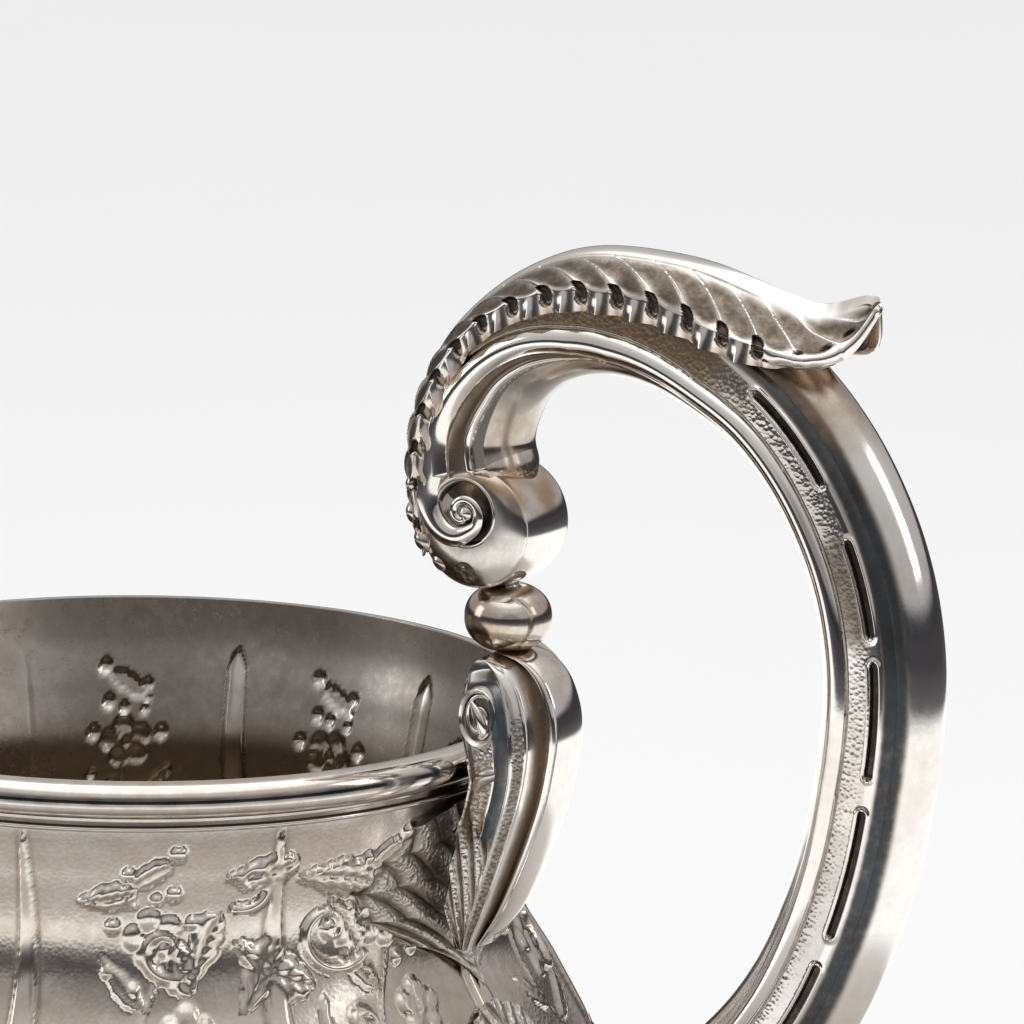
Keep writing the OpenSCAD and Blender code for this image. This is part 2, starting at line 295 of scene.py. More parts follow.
def silver(name, toned, rough, patina=0.0):
    """Sterling silver. toned is how far the warm tarnish has spread, rough the polish."""
    material = bpy.data.materials.new(name)
    material.use_nodes = True
    n = Nodes(material.node_tree)
    place = n.new("TexCoord").outputs["Object"]
    hollow = n.layer("hollow")
    stipple = n.layer("stipple")
    clouds = n.noise(45, 5, 0.6, place)
    mottle = n.noise(420, 6, 0.7, place)
    grit = n.noise(1900, 2, 0.5, place)
    tone = n.scaled(mottle, 0.8, n.scaled(clouds, 1.8, toned - 1.3), clamp=True)
    colour = n.mix(tone, SILVER, WARM)
    # Tarnish in recesses and on matted ground, and painted shade, darken the silver to brown and
    # at their deepest to near black; they also dull its polish
    tarnish_and_shade_depth = n.math("MULTIPLY", n.math("ADD", hollow, n.math("MULTIPLY", stipple, 0.25)),
                  n.math("ADD", mottle, 0.55), clamp=True)
    colour = n.mix(n.math("MULTIPLY", tarnish_and_shade_depth, 1.25, clamp=True), colour, BROWN)
    colour = n.mix(n.math("MULTIPLY", n.math("POWER", tarnish_and_shade_depth, 2.2), 0.95, clamp=True), colour, DEEP_TARNISH_AND_SHADE)
    blue = n.math("MULTIPLY", n.layer("patina"), n.noise(120, 3, 0.5, place))
    blue = n.scaled(blue, 1.6, patina, clamp=True)
    colour = n.mix(blue, colour, BLUE)
    amber = n.math("MULTIPLY", n.layer("amber"), n.scaled(mottle, 2.4, -0.45), clamp=True)
    colour = n.mix(amber, colour, AMBER)
    rubbed = n.scaled(mottle, 0.16, rough - 0.07)
    polish = n.math("ADD", rubbed, n.math("MULTIPLY", tarnish_and_shade_depth, 0.30))
    polish = n.math("ADD", polish, n.math("MULTIPLY", stipple, 0.07), clamp=True)
    dots = n.new("TexVoronoi", {"Vector": place, "Scale": 1500.0}).outputs["Distance"]
    matting = n.new("Bump", {"Strength": 0.7, "Distance": 0.00026,
                             "Height": n.math("MULTIPLY", dots, stipple)})
    stretched = n.new("Mapping", {"Vector": place, "Scale": (1.0, 1.0, 0.12)}).outputs[0]
    wear = n.math("ADD", n.math("MULTIPLY", n.noise(900, 3, 0.7, stretched), 0.3),
                  n.math("MULTIPLY", grit, 0.15))
    wear = n.math("ADD", wear, n.noise(150, 2, 0.4, place))
    fine = n.new("Bump", {"Strength": 0.25, "Distance": 0.00006, "Height": wear,
                          "Normal": matting.outputs[0]})
    shader = n.new("BsdfPrincipled", {"Base Color": colour, "Metallic": 1.0, "Roughness": polish,
                                      "Normal": fine.outputs[0]})
    n.new("OutputMaterial", {"Surface": shader.outputs[0]})
    return material


POLISHED = silver("polished_silver", 0.16, 0.09)
VESSEL = silver("vessel_silver", 0.42, 0.16, 0.03)
LEAF = silver("leaf_silver", 0.28, 0.16)


# ---- the vessel's surface ----

VESSEL_POINTS = [
    (41, 33), (50, 42), (71, 70), (77.5, 84), (80, 98), (78.5, 112), (73.5, 126), (66.2, 140),
    (60.2, 150), (58.2, 160), (59.8, 170), (61.6, 178), (62.2, 185)]
vessel_line = spline(VESSEL_POINTS, 24)


def vessel_radius(z):
    return np.interp(z, vessel_line[:, 1], vessel_line[:, 0])


def from_spout(angle):
    """Angle from the spout's direction, from -pi to pi."""
    return np.mod(angle, 2 * np.pi) - np.pi


def spout_reach(angle, z):
    """Distance of the spout's cone from the pitcher's axis, or 0 away from it."""
    foot_z, foot_radius = 118.0, 12.0
    radius = foot_radius + (SPOUT_RADIUS - foot_radius) * (z - foot_z) / (RIM_Z - foot_z)
    f = from_spout(angle)
    inside = radius ** 2 - (SPOUT_CENTRE * np.sin(f)) ** 2
    reach = SPOUT_CENTRE * np.cos(f) + np.sqrt(np.clip(inside, 0, None))
    return np.where((inside > 0) & (np.cos(f) > 0) & (z > foot_z), reach, 0)


def wall_radius(angle, z):
    """The vessel's outside, with the spout drawn out of it in a soft bend."""
    base = vessel_radius(z)
    reach = spout_reach(angle, z)
    soft = 2.2
    gap = np.clip(np.abs(reach - base) / soft, 0, 12)
    joined = np.maximum(base, reach) + soft * 0.35 * np.exp(-gap)
    near_spout = smooth(0.75, 0.5, np.abs(from_spout(angle))) * smooth(124, 134, z)
    return base + (joined - base) * near_spout


# ---- chased ornament, as heights on the unrolled wall ----

class Relief:
    """Heights on a grid of angles and heights. A stamp works in millimetres round its centre."""

    def __init__(self, angle, z):
        self.angle, self.z = angle, z
        self.radius = vessel_radius(z)
        self.height = np.zeros(np.broadcast(angle, z).shape)
        self.groove = np.zeros_like(self.height)

    def local(self, angle, z, turn, reach):
        """The window round a stamp, with local coordinates inside it."""
        rows = np.flatnonzero(np.abs(self.z[:, 0] - z) < reach)
        span = reach / max(vessel_radius(z), 30)
        off = np.mod(self.angle[rows] - angle + np.pi, 2 * np.pi) - np.pi
        columns = np.flatnonzero((np.abs(off) < span).any(axis=0)) if len(rows) else rows
        window = np.ix_(rows, columns)
        x = off[:, columns] * vessel_radius(z)
        y = self.z[window] - z
        c, s = math.cos(turn), math.sin(turn)
        return window, x * c + y * s, -x * s + y * c

    def raise_to(self, window, height, groove=0.0):
        self.height[window] = np.maximum(self.height[window], height)
        self.groove[window] = np.maximum(self.groove[window], groove)

    def berry(self, angle, z, radius, height):
        window, x, y = self.local(angle, z, 0, radius * 1.2)
        d = np.hypot(x, y) / radius
        self.raise_to(window, height * np.sqrt(np.clip(1 - d * d, 0, 1)))

    def leaf(self, angle, z, turn, length, width, bend, height, lobes=4):
        """A chased leaf that starts at its centre point and bends to one side."""
        window, x, y = self.local(angle, z, turn, length * 1.15)
        a = x / length
        b = (y - bend * length * a * a) / width
        inside = (a > 0) & (a < 1)
        a_in = np.clip(a, 0, 1)
        edge = np.sin(np.pi * a_in ** 0.75) ** 0.8
        edge = edge * (0.80 + 0.20 * np.abs(np.cos(lobes * np.pi * (a_in + 0.25 * np.abs(b)))))
        t = np.clip(np.abs(b) / np.maximum(edge, 1e-3), 0, 1)
        body = np.sqrt(1 - t ** 2.6) * inside
        rib = np.exp(-(b * width / 0.35) ** 2)
        veins = 0.5 + 0.5 * np.cos(2 * np.pi * (lobes * 1.5 * (a_in + 0.35 * np.abs(b))))
        cut = np.clip(rib + 0.5 * (1 - veins) ** 3, 0, 1) * body
        self.raise_to(window, height * body * (1 - 0.35 * cut), cut * 0.7)

    def scroll(self, angle, z, turn, size, hand, height, thick):
        """A spiral stem of about one and a half turns."""
        window, x, y = self.local(angle, z, turn, size * 1.3)
        rho = np.hypot(x, y) / size
        phi = np.arctan2(hand * y, x)
        best = np.full(rho.shape, 9.0)
        for lap in range(2):
            arm = np.exp(-0.26 * (phi + 2 * np.pi * lap + np.pi))
            best = np.minimum(best, np.abs(rho - arm))
        grow = 0.45 + 0.55 * rho
        body = np.sqrt(np.clip(1 - (best * size / (thick * grow)) ** 2, 0, 1))
        self.raise_to(window, height * body * (rho < 1.05))
        self.berry(angle, z, size * 0.2, height)

    def blossom(self, angle, z, size, petals, height, turn=0.0):
        window, x, y = self.local(angle, z, turn, size * 1.1)
        rho = np.hypot(x, y) / size
        phi = np.arctan2(y, x)
        lobe = np.abs(np.cos(petals * phi / 2))
        edge = 0.68 + 0.32 * lobe ** 0.6
        t = np.clip(rho / edge, 0, 1)
        body = np.sqrt(np.clip(1 - t ** 4, 0, 1)) * (0.55 + 0.45 * lobe ** 0.5)
        cup = 0.65 + 0.35 * smooth(0.2, 0.75, t)
        veins = 0.5 + 0.5 * np.cos(petals * 5 * phi)
        cut = smooth(0.35, 0.8, t) * (1 - veins) * 0.5 * body
        split = np.exp(-(lobe * rho * size / 0.5) ** 2) * (rho < edge)
        self.raise_to(window, height * body * cup * (1 - 0.2 * cut), np.maximum(cut, split) * 0.7)
        self.berry(angle, z, size * 0.26, height * 1.05)
        for k in range(8):
            spin = turn + 2 * np.pi * k / 8
            reach = size * 0.36
            self.berry(angle + reach * math.cos(spin) / vessel_radius(z),
                       z + reach * math.sin(spin), size * 0.075, height)

    def stem(self, points, thick, height, beads=30):
        """A raised stem through points of angle in degrees and height."""
        line = even(spline(points, 8), beads)
        for angle, z in line:
            self.berry(math.radians(angle), z, thick, height)


def flutes(relief, high, narrow, growth):
    """Ten long ribs with pointed tops under the rim, that widen downwards."""
    step = 2 * np.pi / PANELS
    off = np.mod(relief.angle + step / 2, step) - step / 2
    x = np.abs(off) * relief.radius
    drop = high - relief.z
    half = narrow + growth * np.clip(drop, 0, 60)
    point = np.clip(drop / 3.0, 0, 1) ** 0.7
    t = np.clip(x / (half * np.maximum(point, 0.02)), 0, 1)
    low = smooth(122, 132, relief.z)
    ridge = np.clip(1 - t ** 4, 0, 1) ** 0.5 * (drop > 0) * low
    relief.height = np.maximum(relief.height, 0.95 * ridge)
    beside = np.exp(-((x - half - 0.35) / 0.35) ** 2) * (drop > -0.4) * low
    relief.groove = np.maximum(relief.groove, 0.7 * beside)


def neck_sprig(relief, middle, rng):
    """A sprig of a blossom, leaves and berries in a neck panel."""
    def at(x, z):
        return middle + x / NECK_RADIUS, z + rng.uniform(-0.3, 0.3)

    lean = rng.choice([-1, 1])
    relief.stem([(math.degrees(middle) + lean * off, z)
                 for off, z in ((1.5, 131), (-2.5, 143), (1.0, 155), (0, 160))], 0.5, 0.5)
    relief.blossom(*at(0.3, 160.5), 4.6, 5, 1.0, rng.uniform(0, 1))
    relief.blossom(*at(lean * 5.0, 146.5), 4.2, 5, 1.0, rng.uniform(0, 1))
    for x, z, radius in ((3.6, 173.4, 1.35), (-3.4, 170.5, 1.1), (3.2, 167.2, 1.2),
                         (6.0, 162.5, 1.15), (-5.8, 162.3, 1.2), (0.6, 166.6, 1.0),
                         (-6.6, 155.5, 1.05), (6.4, 155.0, 1.0), (-2.8, 152.6, 1.1),
                         (3.0, 153.4, 0.9), (-3.0, 166.0, 0.85)):
        relief.berry(*at(lean * x, z), radius, 1.0)
    for x, z, turn, length, bend in ((3.0, 172.0, 3.55, 8.5, 0.15), (-1.0, 150.0, 2.6, 9.5, -0.3),
                                     (1.2, 142.0, 0.5, 9.0, 0.3), (-1.5, 138.5, 2.7, 10.0, -0.25),
                                     (1.0, 136.0, 0.3, 11.0, 0.3)):
        angle = turn if lean > 0 else math.pi - turn
        relief.leaf(*at(lean * x, z), angle, length, 1.9, lean * bend, 0.8)


def rinceau(relief, middle, hand, rng):
    """A stem that winds round a large blossom, with leaves on both of its sides."""
    level, reach, count = 97.5, 16.5, 16
    turns = math.pi * 0.5 - hand * 1.9 + hand * np.linspace(0, 1.72 * np.pi, count)
    rho = reach * np.linspace(1.12, 0.72, count)
    x = middle + rho * np.cos(turns) / BELLY_RADIUS
    z = level + 1.12 * rho * np.sin(turns)
    relief.stem(list(zip(np.degrees(x), z)), 1.15, 1.0, 90)
    for k in range(1, count - 1):
        a = turns[k]
        if k % 2:
            outward, length, bend = a + hand * 0.62, 12.5, -hand * 0.28
        else:
            outward, length, bend = a + math.pi - hand * 0.75, 8.0, hand * 0.2
        length = length * rng.uniform(0.9, 1.1)
        relief.leaf(x[k], z[k], outward, length, 0.34 * length, bend, 1.3, 5)
        if k % 3 == 1:
            relief.berry(x[k] + 2.6 * math.cos(a) / BELLY_RADIUS, z[k] + 2.6 * math.sin(a),
                         1.25, 1.0)


def belly_band(relief, rng):
    """Large blossoms among scrolling leaves round the belly."""
    for k in range(PANELS):
        border = math.radians(PANEL_DEGREES * k)
        middle = math.radians(PANEL_DEGREES * k + 18)
        for z, turn in ((118, 1.2), (118, 1.95), (78, -1.2), (78, -1.95)):
            relief.leaf(border, z, turn, 12.0, 3.6, 0.25 * math.cos(turn), 1.2, 4)
        for z, size, height in ((116.5, 6.2, 1.35), (79.5, 5.6, 1.25), (98.0, 4.4, 1.2)):
            relief.blossom(border, z, size, 5, height, rng.uniform(0, 1))
        rinceau(relief, middle, 1 if k % 2 else -1, rng)
        relief.blossom(middle, 97.5, 10.5, 6, 1.5, rng.uniform(0, 1))
        for x, z in ((-0.18, 70.5), (0.18, 70.5), (-0.06, 68.5), (0.08, 72.0), (-0.14, 123.5),
                     (0.16, 122.5), (0.05, 126.0), (-0.05, 121.5)):
            relief.berry(middle + x, z, rng.uniform(0.9, 1.4), 0.9)


def lower_lobes(relief):
    """Upright leaves round the bottom of the bowl."""
    for k in range(2 * PANELS):
        relief.leaf(math.radians(18 * k), 37, math.pi / 2, 25, 6.0, 0, 1.1, 5)
        relief.berry(math.radians(18 * k + 9), 55, 1.5, 0.9)


def handle_scrolls(relief):
    """Leaf scrolls on the neck at both sides of the handle."""
    scrolls = ((27, 160, 0.6, 7.5, 1), (40, 169, 2.2, 5.2, -1), (24, 146, 3.8, 6.5, -1),
               (52, 159, 1.0, 5.0, 1))
    leaves = ((20, 166, 0.5, 13, 3.4, -0.3), (33, 172, -0.5, 11, 2.8, 0.3),
              (30, 152, 0.2, 14, 3.6, 0.35), (44, 164, -0.9, 10, 3.0, -0.3),
              (22, 156, 1.2, 10, 3.0, -0.2), (48, 152, 0.9, 10, 3.0, 0.3),
              (36, 160, -1.4, 12, 3.2, 0.3), (56, 168, -0.4, 9, 2.4, 0.2))

    def facing(side, turn):
        return turn if side > 0 else math.pi - turn

    for side in (-1, 1):
        for degrees, z, turn, size, hand in scrolls:
            relief.scroll(math.radians(side * degrees), z, facing(side, turn), size, side * hand,
                          1.2, 1.1)
        for degrees, z, turn, length, width, bend in leaves:
            relief.leaf(math.radians(side * degrees), z, facing(side, turn), length, width,
                        side * bend, 1.15, 4)


def chased(angle, z, narrow=0.5, growth=0.05):
    """The ornament on the vessel: its heights, and how deep each point lies in a groove.
    narrow is half of a rib's width at its top, and growth how much it widens downwards."""
    rng = np.random.default_rng(7)
    relief = Relief(angle, z)
    flutes(relief, 177.0, narrow, growth)
    for k in range(PANELS):
        neck_sprig(relief, math.radians(PANEL_DEGREES * k + 18), rng)
    belly_band(relief, rng)
    lower_lobes(relief)
    handle_scrolls(relief)
    return relief.height, relief.groove


# Height of the lower end of the spout's seam
SEAM_LOW = 133.0


def seam_angle(z):
    """Half of the spout's width at its seam, as an angle."""
    t = np.clip((z - SEAM_LOW) / (RIM_Z - SEAM_LOW), 0, 1)
    return 0.585 * t ** 0.62


def vessel_grid(columns, rows, start, end):
    """Angles and heights of a grid on the wall, between two heights. The columns run from one
    side of the spout's seam round the pitcher to its other side."""
    z = np.linspace(start, end, rows)[:, None]
    u = np.linspace(-1, 1, columns)[None, :]
    return u * (np.pi - seam_angle(z)), z + 0 * u


def beside_spout(angle, z):
    """1 on the wall, and 0 within the spout's width."""
    return smooth(0.62, 0.72, np.abs(from_spout(angle)) + smooth(128, 122, z))


def wall_points(angle, z, lift):
    """Points on the wall, moved outwards by lift."""
    r = wall_radius(angle, z) + lift
    return np.stack([r * np.cos(angle), r * np.sin(angle), z + 0 * angle], -1)


def ornament_base(z):
    """How far the ground lies below the vessel's full size, to make room for the ornament."""
    return 1.62 * smooth(66, 82, z) * smooth(130, 114, z)


def make_vessel():
    """The wall: its outside from the bottom up, and its inside from the rim down."""
    columns = 1000
    angle, z = vessel_grid(columns, 330, STEM_Z, RIM_Z - 0.3)
    height, groove = chased(angle, z)
    fade = smooth(RIM_Z - 6.5, RIM_Z - 9.5, z) * smooth(STEM_Z + 2, STEM_Z + 5, z)
    height = height * fade * beside_spout(angle, z)
    ground = np.clip(1 - height / 0.35, 0, 1) * fade
    matted = smooth(150, 118, z)
    hollow = np.clip(0.5 * groove * fade + ground * (0.10 + 0.28 * matted), 0, 1)
    under_rim = smooth(RIM_Z - 11.5, RIM_Z - 8, z)
    outer = wall_points(angle, z, height - ornament_base(z))

    inner_angle, inner_z = vessel_grid(columns, 230, RIM_Z, STEM_Z + WALL)
    inner_height, _ = chased(inner_angle[::-1], inner_z[::-1], 1.7, 0.02)
    inner_fade = smooth(RIM_Z - 5.5, RIM_Z - 9, inner_z) * smooth(STEM_Z + 6, STEM_Z + 12, inner_z)
    inner_height = inner_height[::-1] * inner_fade * beside_spout(inner_angle, inner_z)
    inner = wall_points(inner_angle, inner_z,
                        0.85 * inner_height - ornament_base(inner_z) - WALL)
    # The inside is toned darker than the outside, in waves round it, and painted shade darkens it
    # further towards the bottom. Its raised ribs stay lighter
    dark_waves = smooth(0, 1, 0.5 + 0.5 * np.sin(3 * inner_angle + inner_z / 19)) * 0.15
    inner_hollow = 0.26 + dark_waves + 0.34 * smooth(168, 120, inner_z)
    inner_hollow = inner_hollow * (1 - 0.9 * np.clip(inner_height / 0.5, 0, 1))

    def layer(outside, inside, middle=0):
        """A number for each point, with 0 below the bottom and middle on top of it."""
        return np.concatenate([0 * z[:1], outside + 0 * z, inside + 0 * inner_z,
                               middle + 0 * z[:1]])

    middle = np.zeros_like(inner[-1:])
    middle[..., 2] = inner[-1, 0, 2]
    bottom = np.zeros_like(outer[:1])
    bottom[..., 2] = STEM_Z
    shape = Shape()
    shape.grid(np.concatenate([bottom, outer, inner, middle]),
               hollow=layer(hollow, inner_hollow, inner_hollow[-1:]),
               stipple=layer(ground * (0.08 + 0.7 * matted), 0),
               patina=layer(0.42 * under_rim + 0.03 * fade, 0.12),
               # Inside, amber browns the wall below 150 mm as painted shade
               amber=layer(0.25, 0.5 * smooth(170, 150, inner_z)))
    seam_low = int(np.argmax(z[:, 0] > SEAM_LOW))
    inner_low = int(np.argmax(inner_z[:, 0] < SEAM_LOW))
    for column in (0, -1):
        edge_out = outer[seam_low:, column]
        edge_in = even(inner[:inner_low, column][::-1], len(edge_out))
        shape.grid(np.stack([edge_out, edge_in]))
    shape.make("vessel", VESSEL, "toned_silver", "body_shell")


def make_spout():
    """The beak, with a rib down its front and a sheaf of long leaves beside it."""
    rows, columns = 130, 180
    t = np.linspace(0, 1, rows)[:, None]
    u = np.linspace(-1, 1, columns)[None, :]
    z = SEAM_LOW + (RIM_Z - SEAM_LOW) * t
    angle = np.pi + u * np.maximum(seam_angle(z), 1e-4)
    z = z + 0 * u
    x = (angle - np.pi) * 62
    rib = np.clip(1 - (x / 2.2) ** 2, 0, 1) ** 0.5 * smooth(178, 170, z) * smooth(134, 142, z)
    sheaf = np.zeros_like(x)
    for k in range(5):
        start = 136 + 7 * k
        sweep = np.abs(x) - 1.6 - 0.0052 * (z - start).clip(0) ** 2
        leaf = np.exp(-(sweep / 0.9) ** 2) * smooth(start, start + 4, z)
        sheaf = np.maximum(sheaf, leaf * smooth(176, 168, z) * smooth(0.95, 0.7, np.abs(u)))
    lift = np.maximum(1.3 * rib, 0.9 * sheaf) * smooth(0.98, 0.85, np.abs(u))
    outer = wall_points(angle, z, lift)
    inner = wall_points(angle, z, lift * 0.7 - WALL)
    ground = np.clip(1 - lift / 0.3, 0, 1)
    shape = Shape()
    shape.grid(np.concatenate([outer, inner[::-1]]), around=True,
               hollow=np.concatenate([0.3 * ground, 0.35 + 0 * ground]),
               stipple=np.concatenate([0.8 * ground, 0 * ground]), patina=0.2)
    for column in (0, -1):
        shape.grid(np.stack([outer[:, column], inner[:, column]]), hollow=0.5)
    shape.make("spout", VESSEL, "toned_silver")


# ---- wires round the mouth ----

# Half of the lip's width as an angle, where the mouth wire meets the spout's wire
JOINT = 0.60


def rim_wire(name, low, high, count, z_top, outline, **layers):
    """A wire swept along the rim, between two angles from the handle. outline lists distance
    outwards and height from z_top."""
    points = wall_points(np.linspace(low, high, count)[None, :], np.full((1, count), RIM_Z), 0)[0]
    along = directions(points)
    out = np.stack([along[:, 1], -along[:, 0], 0 * along[:, 0]], -1)
    points[:, 2] = z_top
    up = np.array([0, 0, 1.0])
    ring = points[:, None] + out[:, None] * outline[None, :, :1] + up * outline[None, :, 1:]
    shape = Shape()
    shape.rod(ring, **layers)
    shape.make(name, POLISHED, "polished_silver")


def half_round(out, height, count, back, lip=0.0):
    """A wire's outline: a round front that reaches out, and a flat back. lip moves the flat
    further back than the ends of the round front."""
    turn = np.linspace(0, np.pi, count)
    front = np.stack([back + (out - back) * np.sin(turn) ** 0.8,
                      -height / 2 + height / 2 * np.cos(turn)], -1)
    return np.vstack([front, [[back - lip, -height], [back - lip, 0.0]]])


def make_wires():
    front = 36
    mouth = half_round(2.65, 5.3, front, -0.1, 0.4)
    step = np.arange(float(front))
    blue_band = smooth(12, 14, step) * smooth(20, 18, step)
    layers = {"hollow": np.concatenate([smooth(26, 30, step), [1.0, 0.0]]),
              "patina": np.concatenate([blue_band, [0.0, 0.0]]),
              "amber": np.concatenate([0.3 + 0 * step, [0.5, 0.3]])}
    lip = np.pi - JOINT
    rim_wire("mouth_wire", -lip, lip, 720, RIM_Z, mouth, **layers)
    rim_wire("spout_wire", lip, np.pi + JOINT, 200, RIM_Z, mouth, **layers)
    bead = half_round(0.75, 1.2, 16, -0.7)
    rim_wire("bead_wire", -lip - 0.06, lip + 0.06, 720, RIM_Z - 6.3, bead, hollow=0.15)


# ---- foot ----

def turned(name, material, slot, outline, count, lift=0.0, **layers):
    """A closed outline of radius and height, turned round the pitcher's axis. lift is added
    to the radius."""
    turn = round_turn(count)[:, None]
    radius = outline[None, :, 0] + lift
    points = np.stack([radius * np.cos(turn), radius * np.sin(turn),
                       outline[None, :, 1] + 0 * turn], -1)
    shape = Shape()
    shape.grid(points, around=True, across=True, **layers)
    shape.make(name, material, slot)


def make_foot_dome():
    """The spreading foot, with a ring of upright leaves."""
    points = [(38, STEM_Z - 0.1), (37.5, STEM_Z - 3), (37, STEM_Z - 6), (40, STEM_Z - 13),
              (47, STEM_Z - 19), (FOOT_RADIUS - 6, STEM_Z - 24), (FOOT_RADIUS - 3.5, 5)]
    line = even(spline(points, 10), 90)
    count, lobes = 900, 20
    turn = round_turn(count)[:, None]
    t = np.linspace(0, 1, len(line))[None, :]
    phase = np.abs(np.mod(turn * lobes / (2 * np.pi), 1) - 0.5) * 2
    width = np.sin(np.pi * np.clip((t - 0.12) / 0.76, 0, 1)) ** 0.6
    b = np.clip(phase / np.maximum(width * 0.92, 1e-3), 0, 1)
    leaf = np.sqrt(1 - b ** 2.4) * (t > 0.12) * (t < 0.88)
    rib = np.exp(-(phase * 7) ** 2) * leaf
    veins = (0.5 + 0.5 * np.cos(2 * np.pi * (9 * t + 1.6 * phase))) * leaf
    lift = 0.9 * leaf * (1 - 0.3 * rib - 0.2 * (1 - veins))
    back = line + left_of(directions(line)) * WALL
    turned("foot_dome", VESSEL, "toned_silver", np.vstack([line, back[::-1]]), count,
           side_by_side(lift, 0.6 * lift[:, ::-1]),
           hollow=side_by_side(0.55 * (1 - leaf) + 0.4 * rib, 0.4 + 0 * leaf),
           stipple=side_by_side((1 - leaf) * 0.9, 0 * leaf))


def half_circle(centre, across, up, count):
    """The outer half of an ellipse, from its lowest to its highest point."""
    bend = np.linspace(-np.pi / 2, np.pi / 2, count)
    return np.stack([centre[0] + across * np.cos(bend), centre[1] + up * np.sin(bend)], -1)


def make_foot_wires():
    """The beaded wire that the pitcher stands on, and the collar on the foot's stem."""
    height = node_box("foot_wire")[1][2]
    half = height / 2
    back = FOOT_RADIUS - 7
    wire = np.vstack([[[back, 0.0]], half_circle((FOOT_RADIUS - half, half), half, half, 20),
                      [[back, height]]])
    count, beads = 1500, 150
    turn = round_turn(count)[:, None]
    gap = 1 - np.abs(np.sin(turn * beads / 2)) ** 0.7
    carve = np.zeros((1, len(wire)))
    carve[0, 3:-3] = np.sin(np.linspace(0, np.pi, len(wire) - 6)) ** 0.5
    turned("foot_wire", POLISHED, "polished_silver", wire, count, -0.7 * gap * carve,
           hollow=0.8 * gap ** 2 * carve)
    out, _, top = node_box("foot_collar")[1]
    collar = np.vstack([[[out - 5, top - 3.8]], half_circle((out - 2, top - 1.9), 2, 1.9, 18),
                        [[out - 3, top]]])
    turned("foot_collar", POLISHED, "polished_silver", collar, 480, hollow=0.1)


# ---- handle ----

# The handle's edge at the finger gap, from the upper knop to the lower one. Each point is a
# ring; x and z are distances from the root.
HANDLE_ROOT = np.array([65.0, RIM_Z])
HANDLE_POINTS = np.array([
    (1.4, 43.2), (0.8, 46.5), (2, 51), (4.5, 55.5), (9, 59), (15, 61), (21, 61.3), (27.5, 60),
    (34.5, 57), (42, 52.5), (48.3, 46), (53.3, 38), (56.5, 30), (58.2, 21.5), (58.5, 13),
    (57.7, 4), (56, -6.5), (53, -17), (48.5, -27.5), (42.5, -36.5), (35, -44), (26.5, -49)])


class Handle:
    """The line of the handle's inner edge, with its outward direction and ring number."""

    def __init__(self):
        self.line = spline(HANDLE_POINTS + HANDLE_ROOT, 24)
        self.out = left_of(directions(self.line))
        self.ring = np.linspace(0, len(HANDLE_POINTS) - 1, len(self.line))
        self.run = run_of(self.line)

    def at_run(self, run):
        """Edge point, outward direction and ring number at distances along the handle."""
        line = np.stack([np.interp(run, self.run, self.line[:, k]) for k in (0, 1)], -1)
        out = np.stack([np.interp(run, self.run, self.out[:, k]) for k in (0, 1)], -1)
        return line, unit(out), np.interp(run, self.run, self.ring)

    def run_at(self, ring):
        return np.interp(ring, self.ring, self.run)


handle = Handle()


def bump(x, centre, half):
    """A round bead's height, from 0 at its edges to 1."""
    t = np.clip(np.abs(x - centre) / np.maximum(half, 1e-3), 0, 1)
    return np.sqrt(1 - t * t)


# The handle's side, by ring number: where a thin roll and then a broad band begin and end, as
# distances from the inner edge
STATIONS = (0, 1.2, 2.2, 3, 4, 5, 6, 8, 21)
ROLL_LOW = (2.1, 1.9, 1.1, 0.7, 0.3, 0.0, 0.0, 0.0, 0.0)
ROLL_HIGH = (3.4, 3.2, 2.3, 1.8, 1.2, 0.3, 0.0, 0.0, 0.0)
BAND_LOW = (7.0, 6.2, 4.9, 3.5, 2.2, 0.7, 0.0, 0.0, 0.0)
BAND_HIGH = (10.5, 10.2, 8.9, 7.3, 5.9, 4.6, 4.0, 3.4, 2.6)
# The chased slots: their first and last ring, and their distance from the inner edge
SLOTS = ((8.9, 10.3), (11.25, 12.55), (13.05, 14.7), (15.3, 16.9), (17.4, 19.1))
SLOT_MIDDLE = 7.6


